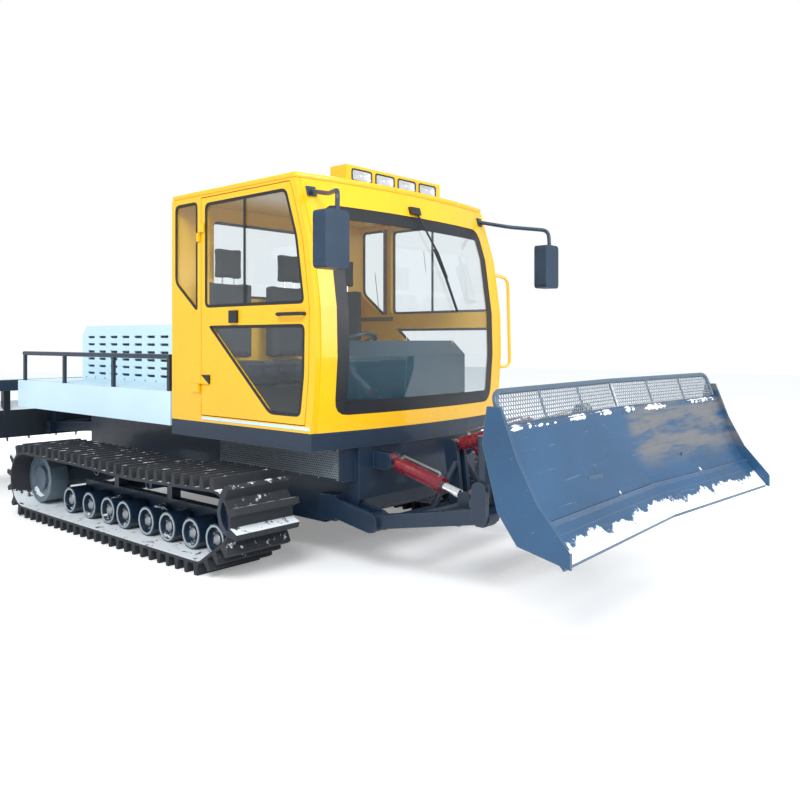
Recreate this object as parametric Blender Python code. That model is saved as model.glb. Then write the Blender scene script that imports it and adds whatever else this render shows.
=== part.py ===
"""Snowcat groomer with a front blade and a rear tiller, in metres.

+X is forward, +Y is the machine's left and +Z is up. The origin is the bottom centre of the whole
machine: the tracks stand on Z = 0. Both tools are carried clear of the ground.
"""

import math

import bmesh
import bpy
from mathutils import Matrix, Vector

# Whole machine
CAB_FRONT_X = 1.68  # foot of the cab's front corner
SEAT_GAP = 0.0003  # between pieces that rest on each other
PIN_GAP = 0.0005  # each side of a turning eye
EYE_GAP = 0.004  # each side of a rod's open eye

# Cab
CAB_HALF_WIDTH = 0.95
CAB_REAR = -1.48  # behind the cab's front foot
CAB_FLOOR_TOP = 0.852
CAB_ROOF_TOP = 2.42
CAB_WALL = 0.04
ROOF_THICKNESS = 0.04
FRONT_WALL = 0.035
FRONT_BULGE = 0.10  # how far the front stands ahead of its corners
GLASS_THICKNESS = 0.008
GLASS_GAP = 0.0006
GLASS_DEPTH = 0.006  # the pane sits this far below the outer face
# Front corner of the cab, seen from the side: x from the cab's front foot, z
CAB_CORNER = ((-0.030, 0.852), (-0.008, 1.05), (0.011, 1.30), (0.004, 1.60), (-0.055, 2.00),
              (-0.126, 2.22), (-0.185, 2.42))
SCREEN_HALF_WIDTH = 0.80
SCREEN_BOTTOM = 0.95
SCREEN_TOP = 2.23
SCREEN_CORNER = 0.10
REAR_WINDOW_HALF_WIDTH = 0.62
REAR_WINDOW_BOTTOM = 1.72
REAR_WINDOW_TOP = 2.28
WINDOW_CORNER = 0.045

# Doors, seen from the side: x from the cab's front foot, z
DOOR_REAR = -1.126
DOOR_BOTTOM = 0.90
DOOR_TOP = 2.36
DOOR_FRONT = ((-0.087, 0.90), (-0.052, 1.20), (-0.047, 1.60), (-0.105, 2.00), (-0.185, 2.27),
              (-0.221, 2.36))
DOOR_GAP = 0.006
DOOR_HINGE_OUT = 0.012  # hinge axis outside the skin
UPPER_WINDOW = ((-1.086, 1.62), (-0.085, 1.62), (-0.150, 2.03), (-0.252, 2.325), (-1.086, 2.325))
LOWER_WINDOW = ((-1.050, 1.50), (-0.412, 0.945), (-0.122, 0.945), (-0.088, 1.20), (-0.083, 1.50))
QUARTER_WINDOW = ((-1.439, 1.80), (-1.170, 1.59), (-1.170, 2.345), (-1.439, 2.345))
LATCH_X = -0.80
LATCH_Z = 1.555
LATCH_SIZE = 0.08
HANDLE_X = (-0.306, -0.082)
HANDLE_Z = 1.56
HINGE_HEIGHTS = (1.11, 2.13)
HINGE_LENGTH = 0.06  # of each half
HINGE_RADIUS = 0.011
HINGE_STRAP = 0.10

# Roof lamps
LAMP_BOX_HALF_WIDTH = 0.48
LAMP_BOX_TOP = 2.54
LAMP_BOX_X = (-0.36, -0.21)
LAMP_COUNT = 4
LAMP_PITCH = 0.225
LAMP_WIDTH = 0.195
LAMP_HEIGHT = 0.085

# Hull
HULL_HALF_WIDTH = 0.60
HULL_TOP = 0.745
# side outline: x, z
HULL_OUTLINE = ((-1.50, 0.24), (1.40, 0.24), (1.66, 0.34), (1.70, 0.42), (1.70, 0.745),
                (-1.62, 0.745), (-1.62, 0.40))
GRILLE_X = (-1.24, -0.02)
GRILLE_Z = (0.54, 0.742)
GRILLE_Y = 0.72
GRILLE_PLATE = 0.012

# Tracks
TRACK_INNER_Y = 0.88
TRACK_OUTER_Y = 1.35
BELT_THICKNESS = 0.018
GROUSER_HEIGHT = 0.067
GROUSER_FOOT = 0.046
GROUSER_TIP = 0.024
GROUSER_PITCH = 0.10
SPROCKET = (-1.28, 0.295, 0.205)  # x, z, radius of the belt's inner face
IDLER = (1.24, 0.360, 0.155)
WHEEL_RADIUS = 0.10  # of the belt's inner face round a wheel
WHEEL_GAP = 0.0008
WHEEL_POSITIONS = (-2.462, -2.165, -1.896, -1.678, -1.386, -1.133, -0.864, -0.609)
# return rollers: x from the cab's front foot, z
ROLLERS = ((-2.057, 0.455), (-1.355, 0.440))
ROLLER_RADIUS = 0.042
WHEEL_Y = (1.07, 1.21)
BEAM_Y = (0.98, 1.05)
BEAM_Z = (0.15, 0.32)
AXLE_RADIUS = 0.028
CROSS_TUBE_X = (-0.65, 0.95)  # tubes that carry the track frame on the hull
CROSS_TUBE_Z = 0.262
CROSS_TUBE_RADIUS = 0.045

# Load bed and engine
BED_X = (-3.98, -1.50)
BED_BOTTOM = 0.80
DECK_TOP = 1.04
DECK_THICKNESS = 0.03
BED_WALL = 0.03
TREAD_PLATE = 0.004  # the walking plates beside the hood stand this far above the deck
TREAD_MARGIN = 0.01
RAIL_TOP = 1.285
RAIL_RADIUS = 0.018
RAIL_POSTS = (-3.90, -3.144, -2.339, -1.56)
HOOD_HALF_WIDTH = 0.50
HOOD_WALL = 0.02
# hood's side outline above the deck: x from the cab's front foot, z
HOOD_OUTLINE = ((-3.66, DECK_TOP), (-3.66, 1.45), (-3.58, 1.53), (-1.95, 1.53), (-1.72, 1.62),
                (-1.51, 1.62), (-1.51, DECK_TOP))
ENGINE_X = (-2.95, -1.95)
ENGINE_HALF_WIDTH = 0.30
ENGINE_TOP = 1.42

# Front tool linkage: pins as x, z
LIFT_PIN = (1.85, 0.31)
PITCH_PIN = (2.65, 0.46)
KING_PIN_X = 2.98
ARM_Y = 0.60
ARM_WIDTH = 0.08
ARM_HALF_HEIGHT = 0.04
EYE_RADIUS = 0.06
EAR_PLATE = 0.025
SLEEVE_Z = (0.56, 0.78)
SLEEVE_RADIUS = 0.05

# Blade, its end profile seen from the side: x from the cab's front foot, z
BLADE_HALF_WIDTH = 1.26
BLADE_V = 0.075  # how far the middle is set back
BLADE_FRONT = ((1.515, 1.035), (1.576, 0.883), (1.605, 0.80), (1.66, 0.686), (1.77, 0.55))
BLADE_PLATE = 0.02
SCREEN_FOOT = 1.505  # x of the screen's uprights on the mouldboard's top edge
SCREEN_MESH_HEIGHT = 0.14
CUTTING_EDGE = (0.085, -0.085)  # forward and down from the mouldboard's foot
EDGE_PLATE = 0.018

# Cylinders: pins as x, z, or as x, y where they stand upright
BASE_EYE_RADIUS = 0.045
BASE_EYE_WIDTH = 0.05
ROD_EYE_RADIUS = 0.038
ROD_EYE_WIDTH = 0.04
NECK_RADIUS = 0.022
NECK_END = 0.075  # where the full barrel starts
ROD_NECK = 0.015
BORE_GAP = 0.001
LIFT_Y = 0.42
LIFT_BASE = (1.80, 0.655)
LIFT_END = (2.40, 0.50)
PITCH_BASE = (1.98, 0.72)
PITCH_END = (2.90, 1.00)
ANGLE_BASE = (2.74, 0.40)  # x, y
ANGLE_END = (3.15, 0.56)
ANGLE_Z = 0.70
REAR_BASE = (-1.69, 0.36)
REAR_END = (-2.42, 0.50)

# Rear tool
REAR_PIN = (-1.70, 0.62)
REAR_ARM_Y = 0.45
REAR_BEAM_X = (-2.62, -2.52)
TILLER_HALF_WIDTH = 1.26
ROTOR = (-2.93, 0.56)
ROTOR_TUBE = 0.09
ROTOR_REACH = 0.15
HOOD_PLATE = 0.02
# tiller hood's side outline: x, z
TILLER_OUTLINE = ((-2.66, 0.48), (-2.66, 0.74), (-2.80, 0.82), (-3.06, 0.80), (-3.20, 0.63),
                  (-3.20, 0.52))
FLAP_REAR_X = -3.535
FLAP_FRONT_Z = 0.60
FLAP_REAR_Z = 0.42
FLAP_THICKNESS = 0.02


def ahead(distance):
    """World x of a point that far ahead of the cab's front foot."""
    return CAB_FRONT_X + distance


def placed(outline):
    """An outline measured from the cab's front foot, in world x."""
    return [(ahead(x), z) for x, z in outline]


# Shapes


def clear_scene():
    for obj in list(bpy.data.objects):
        bpy.data.objects.remove(obj, do_unlink=True)


def closed_mesh(vertices, faces):
    mesh = bpy.data.meshes.new("shape")
    mesh.from_pydata([tuple(v) for v in vertices], [], faces)
    shape = bmesh.new()
    shape.from_mesh(mesh)
    bmesh.ops.remove_doubles(shape, verts=shape.verts, dist=1e-6)
    bmesh.ops.recalc_face_normals(shape, faces=shape.faces)
    shape.to_mesh(mesh)
    shape.free()
    return mesh


def loft(sections):
    """A closed solid through closed sections with equal point counts."""
    count = len(sections[0])
    vertices = [point for section in sections for point in section]
    faces = [tuple(range(count)), tuple(range(len(vertices) - 1, len(vertices) - count - 1, -1))]
    for ring in range(len(sections) - 1):
        for i in range(count):
            j = (i + 1) % count
            a, b = ring * count, (ring + 1) * count
            faces.append((a + i, b + i, b + j, a + j))
    return closed_mesh(vertices, faces)


def prism(outline, axis, low, high):
    """An outline pushed along one axis; its points are the other two coordinates in order."""
    order = {"X": lambda a, b, t: (t, a, b), "Y": lambda a, b, t: (a, t, b), "Z": lambda a, b, t: (a, b, t)}
    return loft([[order[axis](a, b, t) for a, b in outline] for t in (low, high)])


def block(x, y, z):
    return prism(((x[0], y[0]), (x[1], y[0]), (x[1], y[1]), (x[0], y[1])), "Z", z[0], z[1])


def turned(profile, centre, axis, sides=20):
    """A profile of radius and distance along the axis, turned once round it."""
    turn = Vector((0, 0, 1)).rotation_difference(Vector(axis)).to_matrix()
    vertices = []
    for i in range(sides):
        angle = 2 * math.pi * i / sides
        for radius, along in profile:
            point = Vector((radius * math.cos(angle), radius * math.sin(angle), along))
            vertices.append(turn @ point + Vector(centre))
    count = len(profile)
    faces = []
    for i in range(sides):
        for j in range(count):
            a, b = i * count, ((i + 1) % sides) * count
            k = (j + 1) % count
            faces.append((a + j, a + k, b + k, b + j))
    mesh = bpy.data.meshes.new("shape")
    mesh.from_pydata([tuple(v) for v in vertices], [], faces)
    shape = bmesh.new()
    shape.from_mesh(mesh)
    bmesh.ops.remove_doubles(shape, verts=shape.verts, dist=1e-6)
    bmesh.ops.dissolve_degenerate(shape, edges=shape.edges, dist=1e-6)
    bmesh.ops.recalc_face_normals(shape, faces=shape.faces)
    shape.to_mesh(mesh)
    shape.free()
    return mesh


def rod(start, end, radius, sides=12):
    start, end = Vector(start), Vector(end)
    length = (end - start).length
    return turned(((0, 0), (radius, 0), (radius, length), (0, length)), start, end - start, sides)


def disc(centre, axis, radius, width, sides=20):
    """A round eye or roller centred on a pin."""
    half = Vector(axis).normalized() * width / 2
    return rod(Vector(centre) - half, Vector(centre) + half, radius, sides)


def tube(points, radius, sides=8):
    """A round bar along a route of points."""
    points = [Vector(p) for p in points]
    runs = [(b - a).normalized() for a, b in zip(points, points[1:])]
    side = runs[0].orthogonal().normalized()
    sections = []
    for i, point in enumerate(points):
        tangent = (runs[max(i - 1, 0)] + runs[min(i, len(runs) - 1)]).normalized()
        side = (side - tangent * side.dot(tangent)).normalized()
        up = tangent.cross(side)
        angles = [2 * math.pi * k / sides for k in range(sides)]
        sections.append([point + radius * (math.cos(a) * side + math.sin(a) * up) for a in angles])
    return loft(sections)


def bent(points, bend, steps=4):
    """The same route with each corner rounded."""
    points = [Vector(p) for p in points]
    route = [points[0]]
    for before, corner, after in zip(points, points[1:], points[2:]):
        start = corner + (before - corner).normalized() * bend
        end = corner + (after - corner).normalized() * bend
        for k in range(steps + 1):
            t = k / steps
            route.append((1 - t) ** 2 * start + 2 * t * (1 - t) * corner + t ** 2 * end)
    route.append(points[-1])
    return route


def rounded(outline, radius, steps=4):
    """A closed 2-D outline with its corners rounded."""
    flat = [Vector((a, b, 0)) for a, b in outline]
    points = []
    for i, corner in enumerate(flat):
        before, after = flat[i - 1], flat[(i + 1) % len(flat)]
        reach = min(radius, (before - corner).length * 0.45, (after - corner).length * 0.45)
        start = corner + (before - corner).normalized() * reach
        end = corner + (after - corner).normalized() * reach
        for k in range(steps + 1):
            t = k / steps
            p = (1 - t) ** 2 * start + 2 * t * (1 - t) * corner + t ** 2 * end
            points.append((p.x, p.y))
    return points


def inset(outline, distance):
    """A closed 2-D outline moved inwards by a distance."""
    area = sum(a[0] * b[1] - b[0] * a[1] for a, b in zip(outline, outline[1:] + outline[:1]))
    turn = 1 if area > 0 else -1
    result = []
    for i, corner in enumerate(outline):
        before, after = outline[i - 1], outline[(i + 1) % len(outline)]
        one = Vector((corner[0] - before[0], corner[1] - before[1])).normalized()
        two = Vector((after[0] - corner[0], after[1] - corner[1])).normalized()
        normal_one = Vector((-one.y, one.x)) * turn
        normal_two = Vector((-two.y, two.x)) * turn
        middle = normal_one + normal_two
        scale = distance * 2 / max(middle.length_squared, 0.2)
        result.append((corner[0] + middle.x * scale, corner[1] + middle.y * scale))
    return result


# Objects

materials = {}
pivots = {}


def material(name, colour, roughness, metallic=0.0):
    made = bpy.data.materials.new(name)
    made.use_nodes = True
    shader = made.node_tree.nodes["Principled BSDF"]
    shader.inputs["Base Color"].default_value = (*colour, 1)
    shader.inputs["Roughness"].default_value = roughness
    shader.inputs["Metallic"].default_value = metallic
    made.diffuse_color = (*colour, 1)
    materials[name] = made


def make_materials():
    # name, colour, roughness, metallic
    table = (
        ("cab_yellow", (0.90, 0.50, 0.0), 0.35, 0.0),
        ("chassis_navy", (0.012, 0.018, 0.04), 0.5, 0.0),
        ("bed_white", (0.62, 0.70, 0.78), 0.4, 0.0),
        ("blade_blue", (0.03, 0.10, 0.24), 0.45, 0.0),
        ("cylinder_red", (0.20, 0.0, 0.02), 0.35, 0.0),
        ("rod_chrome", (0.75, 0.76, 0.78), 0.12, 1.0),
        ("bare_steel", (0.35, 0.35, 0.36), 0.4, 1.0),
        ("track_rubber", (0.03, 0.03, 0.035), 0.8, 0.0),
        ("wheel_grey", (0.40, 0.42, 0.45), 0.5, 0.0),
        ("black_plastic", (0.015, 0.015, 0.018), 0.55, 0.0),
        ("seat_black", (0.02, 0.02, 0.022), 0.8, 0.0),
        ("console_teal", (0.03, 0.06, 0.07), 0.6, 0.0),
        ("glass", (0.55, 0.62, 0.62), 0.05, 0.0),
    )
    for name, colour, roughness, metallic in table:
        material(name, colour, roughness, metallic)


def pivot(name, location):
    """An empty on a joint's axis; the pieces that it moves are its children."""
    empty = bpy.data.objects.new(f"{name}.axis", None)
    empty.location = location
    bpy.context.scene.collection.objects.link(empty)
    pivots[name] = empty


def helpers(name, shapes):
    """A collection of hidden shapes that a Boolean reads."""
    group = bpy.data.collections.new(name)
    bpy.context.scene.collection.children.link(group)
    for i, shape in enumerate(shapes):
        helper = bpy.data.objects.new(f"{name}.{i}", shape)
        helper.hide_render = True
        helper.display_type = "WIRE"
        group.objects.link(helper)
    return group


def node(name, finish, shapes, cuts=(), body=None, bevel=0.0):
    """One named solid: shapes joined, then cuts taken out."""
    shapes = list(shapes)
    obj = bpy.data.objects.new(name, shapes[0])
    obj.data.materials.append(materials[finish])
    bpy.context.scene.collection.objects.link(obj)
    if bevel:
        edge = obj.modifiers.new("edges", "BEVEL")
        edge.width = bevel
        edge.segments = 2
        edge.limit_method = "ANGLE"
    for group, operation in ((shapes[1:], "UNION"), (list(cuts), "DIFFERENCE")):
        if not group:
            continue
        step = obj.modifiers.new(operation.lower(), "BOOLEAN")
        step.operation = operation
        step.solver = "EXACT"
        step.operand_type = "COLLECTION"
        step.collection = helpers(f"{name}.{operation.lower()}", group)
    if body:
        obj.parent = pivots[body]
        obj.matrix_parent_inverse = Matrix.Translation(-pivots[body].location)
    return obj


# Cab


FRONT_GRID = [CAB_HALF_WIDTH * (i / 4 - 1) for i in range(9)]


def bulge(y):
    """How far the front stands ahead of its corner line at y, on flat facets between the grid's lines."""
    y = max(-CAB_HALF_WIDTH, min(CAB_HALF_WIDTH, y))
    right = max(g for g in FRONT_GRID[:-1] if g <= y)
    left = min(g for g in FRONT_GRID if g > right)
    ends = [FRONT_BULGE * (1 - (g / CAB_HALF_WIDTH) ** 2) for g in (right, left)]
    return ends[0] + (ends[1] - ends[0]) * (y - right) / (left - right)


def corner_x(z):
    """World x of the cab's front corner at a height."""
    for (x0, z0), (x1, z1) in zip(CAB_CORNER, CAB_CORNER[1:]):
        if z <= z1:
            return ahead(x0 + (x1 - x0) * (z - z0) / (z1 - z0))
    return ahead(CAB_CORNER[-1][0])


def between(low, high, lines):
    return sorted({low, high} | {value for value in lines if low < value < high})


def front_sheet(right, left, low, high, outside, inside):
    """A piece of the curved front between two depths below its skin, lofted from side to side."""
    heights = between(low, high, [z for _, z in CAB_CORNER])
    stations = between(right, left, FRONT_GRID)
    sections = []
    for y in stations:
        outer = [(corner_x(z) + bulge(y) - outside, y, z) for z in heights]
        inner = [(corner_x(z) + bulge(y) - inside, y, z) for z in reversed(heights)]
        sections.append(outer + inner)
    return loft(sections)


def rectangle(half_width, low, high, radius, shrink=0.0):
    wide, bottom, top = half_width - shrink, low + shrink, high - shrink
    return rounded(((-wide, bottom), (wide, bottom), (wide, top), (-wide, top)), radius)


def cab_front():
    top = CAB_ROOF_TOP - ROOF_THICKNESS - SEAT_GAP
    wide = CAB_HALF_WIDTH - CAB_WALL - SEAT_GAP
    shell = front_sheet(-wide, wide, CAB_FLOOR_TOP, top, 0.0, FRONT_WALL)
    opening = rectangle(SCREEN_HALF_WIDTH, SCREEN_BOTTOM, SCREEN_TOP, SCREEN_CORNER)
    cut = prism(opening, "X", ahead(-0.5), ahead(0.5))
    node("cab_front", "cab_yellow", [shell], [cut])
    pane = front_sheet(-SCREEN_HALF_WIDTH - 0.05, SCREEN_HALF_WIDTH + 0.05, SCREEN_BOTTOM - 0.05,
                       SCREEN_TOP + 0.05, GLASS_DEPTH, GLASS_DEPTH + GLASS_THICKNESS)
    shape = prism(rectangle(SCREEN_HALF_WIDTH, SCREEN_BOTTOM, SCREEN_TOP, SCREEN_CORNER, GLASS_GAP),
                  "X", ahead(-0.5), ahead(0.5))
    glass = node("windscreen", "glass", [pane])
    trim = glass.modifiers.new("outline", "BOOLEAN")
    trim.operation = "INTERSECT"
    trim.solver = "EXACT"
    trim.operand_type = "OBJECT"
    trim.object = helpers("windscreen.outline", [shape]).objects[0]


def plan_outline(z):
    """The cab's plan at one height, its front bulged."""
    front = [(corner_x(z) + bulge(y), y) for y in reversed(FRONT_GRID)]
    return [(ahead(CAB_REAR), CAB_HALF_WIDTH)] + front + [(ahead(CAB_REAR), -CAB_HALF_WIDTH)]


def cab_floor_and_roof():
    floor = prism(plan_outline(CAB_FLOOR_TOP), "Z",
                  HULL_TOP + SEAT_GAP, CAB_FLOOR_TOP - SEAT_GAP)
    node("cab_floor", "chassis_navy", [floor])
    low = CAB_ROOF_TOP - ROOF_THICKNESS
    roof = prism(plan_outline(low), "Z", low, CAB_ROOF_TOP)
    node("cab_roof", "cab_yellow", [roof], bevel=0.015)


def cab_rear():
    x = (ahead(CAB_REAR), ahead(CAB_REAR) + CAB_WALL)
    wide = CAB_HALF_WIDTH - CAB_WALL - SEAT_GAP
    top = CAB_ROOF_TOP - ROOF_THICKNESS - SEAT_GAP
    wall = block(x, (-wide, wide), (CAB_FLOOR_TOP, top))
    size = (REAR_WINDOW_HALF_WIDTH, REAR_WINDOW_BOTTOM, REAR_WINDOW_TOP, WINDOW_CORNER)
    node("cab_rear_wall", "cab_yellow", [wall], [prism(rectangle(*size), "X", x[0] - 0.1, x[1] + 0.1)])
    start = x[0] + GLASS_DEPTH
    pane = prism(rectangle(*size, shrink=GLASS_GAP), "X", start, start + GLASS_THICKNESS)
    node("rear_window", "glass", [pane])


def side_range(side, depth, thickness):
    """Low and high y of a layer that starts a depth below the cab's side skin."""
    outer = side * (CAB_HALF_WIDTH - depth)
    inner = side * (CAB_HALF_WIDTH - depth - thickness)
    return min(outer, inner), max(outer, inner)


def door_outline(grow=0.0):
    outline = [(DOOR_REAR, DOOR_BOTTOM)] + list(DOOR_FRONT) + [(DOOR_REAR, DOOR_TOP)]
    return inset(placed(outline), -grow) if grow else placed(outline)


def cab_sides():
    top = CAB_ROOF_TOP - ROOF_THICKNESS - SEAT_GAP
    heights = [z for _, z in CAB_CORNER if z < top] + [top]
    outline = [(ahead(CAB_REAR), CAB_FLOOR_TOP)] + [(corner_x(z), z) for z in heights] + [(ahead(CAB_REAR), top)]
    quarter = rounded(placed(QUARTER_WINDOW), WINDOW_CORNER)
    for name, side in (("right", -1), ("left", 1)):
        y = side_range(side, 0.0, CAB_WALL)
        wall = prism(outline, "Y", *y)
        cuts = [prism(door_outline(DOOR_GAP), "Y", y[0] - 0.1, y[1] + 0.1),
                prism(quarter, "Y", y[0] - 0.1, y[1] + 0.1)]
        extra = hinge_halves(side, -1)
        if name == "left":
            extra.append(grab_rail(side))
        node(f"cab_side_{name}", "cab_yellow", [wall] + extra, cuts)
        pane = prism(inset(quarter, GLASS_GAP), "Y", *side_range(side, GLASS_DEPTH, GLASS_THICKNESS))
        node(f"quarter_window_{name}", "glass", [pane])


def hinge_halves(side, way):
    """The knuckles and straps of one door's hinges: way 1 is the door's half, -1 the post's half below it."""
    skin = side * CAB_HALF_WIDTH
    y = side * (CAB_HALF_WIDTH + DOOR_HINGE_OUT)
    shapes = []
    for z in HINGE_HEIGHTS:
        low, high = (z, z + HINGE_LENGTH) if way > 0 else (z - HINGE_LENGTH, z - PIN_GAP)
        shapes.append(rod((ahead(DOOR_REAR), y, low), (ahead(DOOR_REAR), y, high), HINGE_RADIUS, 10))
        reach = sorted((ahead(DOOR_REAR), ahead(DOOR_REAR) + way * HINGE_STRAP))
        depth = sorted((skin - side * 0.01, skin + side * DOOR_HINGE_OUT))
        shapes.append(block((reach[0] + 0.012 * (way > 0), reach[1] - 0.012 * (way < 0)), depth, (low, high)))
        lug = sorted((ahead(DOOR_REAR), ahead(DOOR_REAR) + way * 0.02))
        shapes.append(block(lug, sorted((skin + side * 0.002, skin + side * DOOR_HINGE_OUT)), (low, high)))
    return shapes


def grab_rail(side):
    """A bent bar beside the door, its two feet in the front corner post."""
    skin = side * (CAB_HALF_WIDTH - 0.01)
    out = side * (CAB_HALF_WIDTH + 0.09)
    route = bent(((ahead(-0.022), skin, 1.98 - 0.78), (ahead(0.03), out, 1.20), (ahead(0.01), out, 1.88),
                  (ahead(-0.055), skin, 1.90)), 0.06)
    return tube(route, 0.012)


def door(name, side):
    body = f"door_{name}"
    pivot(body, (ahead(DOOR_REAR), side * (CAB_HALF_WIDTH + DOOR_HINGE_OUT), 1.6))
    y = side_range(side, 0.0, CAB_WALL)
    upper = rounded(placed(UPPER_WINDOW), WINDOW_CORNER)
    lower = rounded(placed(LOWER_WINDOW), WINDOW_CORNER)
    skin = side * CAB_HALF_WIDTH
    latch = block((ahead(LATCH_X), ahead(LATCH_X) + LATCH_SIZE),
                  sorted((skin - side * 0.01, skin + side * 0.02)),
                  (LATCH_Z - LATCH_SIZE / 2, LATCH_Z + LATCH_SIZE / 2))
    handle = tube(bent(((ahead(HANDLE_X[0]), skin - side * 0.01, HANDLE_Z), (ahead(HANDLE_X[0]), skin + side * 0.035, HANDLE_Z),
                        (ahead(HANDLE_X[1]), skin + side * 0.035, HANDLE_Z), (ahead(HANDLE_X[1]), skin - side * 0.01, HANDLE_Z)),
                       0.02), 0.011)
    cuts = [prism(outline, "Y", y[0] - 0.1, y[1] + 0.1) for outline in (upper, lower)]
    node(body, "cab_yellow", [prism(door_outline(), "Y", *y), latch, handle] + hinge_halves(side, 1), cuts, body)
    for pane, outline in (("upper", upper), ("lower", lower)):
        glass = prism(inset(outline, GLASS_GAP), "Y", *side_range(side, GLASS_DEPTH, GLASS_THICKNESS))
        node(f"door_{pane}_glass_{name}", "glass", [glass], body=body)


def roof_lamps():
    low = CAB_ROOF_TOP + SEAT_GAP
    box = block((ahead(LAMP_BOX_X[0]), ahead(LAMP_BOX_X[1])), (-LAMP_BOX_HALF_WIDTH, LAMP_BOX_HALF_WIDTH),
                (low, LAMP_BOX_TOP))
    middle = (low + LAMP_BOX_TOP) / 2
    cuts = []
    for i in range(LAMP_COUNT):
        y = (i - (LAMP_COUNT - 1) / 2) * LAMP_PITCH
        lens = rounded(((y - LAMP_WIDTH / 2, middle - LAMP_HEIGHT / 2), (y + LAMP_WIDTH / 2, middle - LAMP_HEIGHT / 2),
                        (y + LAMP_WIDTH / 2, middle + LAMP_HEIGHT / 2), (y - LAMP_WIDTH / 2, middle + LAMP_HEIGHT / 2)),
                       0.02, 3)
        cuts.append(prism(lens, "X", ahead(LAMP_BOX_X[1]) - 0.012, ahead(LAMP_BOX_X[1]) + 0.05))
    node("roof_lamps", "black_plastic", [box], cuts)


def mirrors():
    for name, side in (("right", -1), ("left", 1)):
        root_y = side * 0.86
        root_x = corner_x(2.30) + bulge(root_y)
        arm = tube(bent(((root_x + 0.01, root_y, 2.30), (ahead(0.10), side * 0.93, 2.25), (ahead(0.34), side * 1.09, 2.22),
                         (ahead(0.345), side * 1.10, 2.05)), 0.05), 0.014)
        foot = front_sheet(root_y - 0.03, root_y + 0.03, 2.27, 2.33, -0.014, -GLASS_GAP)
        shell = rounded(((1.02, 1.79), (1.20, 1.79), (1.20, 2.11), (1.02, 2.11)), 0.03, 3)
        housing = prism([(side * y, z) for y, z in shell], "X", ahead(0.26), ahead(0.36))
        recess = prism(inset([(side * y, z) for y, z in shell], 0.012), "X", ahead(0.24), ahead(0.268))
        node(f"mirror_{name}", "chassis_navy", [housing, arm, foot], [recess])


def wipers():
    z = SCREEN_TOP + 0.035
    motor = front_sheet(-0.06, 0.03, z - 0.02, z + 0.03, -0.03, -GLASS_GAP)
    def glass_point(y, height, out):
        return (corner_x(height) + bulge(y) + out, y, height)
    arm = tube([glass_point(-0.01, z, 0.02), glass_point(0.12, 1.99, 0.022), glass_point(0.19, 1.83, 0.022)], 0.007, 6)
    blade = tube([glass_point(0.10, 2.02, 0.012), glass_point(0.19, 1.83, 0.012), glass_point(0.28, 1.60, 0.012)], 0.009, 6)
    link = rod(glass_point(0.19, 1.83, 0.024), glass_point(0.19, 1.83, 0.006), 0.006, 8)
    node("wiper", "black_plastic", [motor, arm, blade, link])


def interior():
    floor = CAB_FLOOR_TOP
    plinth = block((ahead(-1.42), ahead(-0.98)), (-0.86, 0.86), (floor, 1.12))
    shapes = [plinth]
    for y in (-0.58, 0.0, 0.58):
        shapes.append(block((ahead(-1.40), ahead(-0.90)), (y - 0.24, y + 0.24), (1.08, 1.26)))
        shapes.append(block((ahead(-1.40), ahead(-1.27)), (y - 0.22, y + 0.22), (1.20, 1.83)))
        shapes.append(block((ahead(-1.37), ahead(-1.28)), (y - 0.12, y + 0.12), (1.80, 2.08)))
    node("seats", "seat_black", shapes)
    outline = ((ahead(-0.30), floor), (ahead(-0.09), floor), (ahead(-0.09), 1.30), (ahead(-0.20), 1.40),
               (ahead(-0.42), 1.36), (ahead(-0.46), 1.30), (ahead(-0.34), 1.16))
    desk = prism(outline, "Y", -0.62, 0.62)
    axis = Vector((-0.55, 0, 0.83)).normalized()
    hub = Vector((ahead(-0.62), 0, 1.36))
    column = rod(Vector((ahead(-0.36), 0, 1.22)), hub, 0.025)
    rim_profile = [(0.17 + 0.014 * math.cos(a), 0.014 * math.sin(a)) for a in
                   [2 * math.pi * k / 6 for k in range(6)]]
    rim = turned(rim_profile, hub, axis, 20)
    across = axis.orthogonal().normalized()
    spokes = []
    for k in range(3):
        way = Matrix.Rotation(2 * math.pi * k / 3, 3, axis) @ across
        spokes.append(rod(hub, hub + way * 0.172, 0.011, 6))
    node("console", "console_teal", [desk, column, disc(hub, axis, 0.04, 0.04, 12), rim] + spokes)


# Hull


def ear_pair(centre_y, width, outline, gap=PIN_GAP, plate=EAR_PLATE):
    """Two upright plates, one each side of an eye of this width."""
    inner = width / 2 + gap
    return [prism(outline, "Y", centre_y + inner, centre_y + inner + plate),
            prism(outline, "Y", centre_y - inner - plate, centre_y - inner)]


def link_plate(start, end, radius, steps=5):
    """Side outline of a plate with round ends on two pins."""
    (x0, z0), (x1, z1) = start, end
    heading = math.atan2(z1 - z0, x1 - x0)
    points = []
    for (x, z), first in ((start, heading + math.pi / 2), (end, heading - math.pi / 2)):
        for k in range(steps + 1):
            angle = first + math.pi * k / steps
            points.append((x + radius * math.cos(angle), z + radius * math.sin(angle)))
    return points


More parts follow.
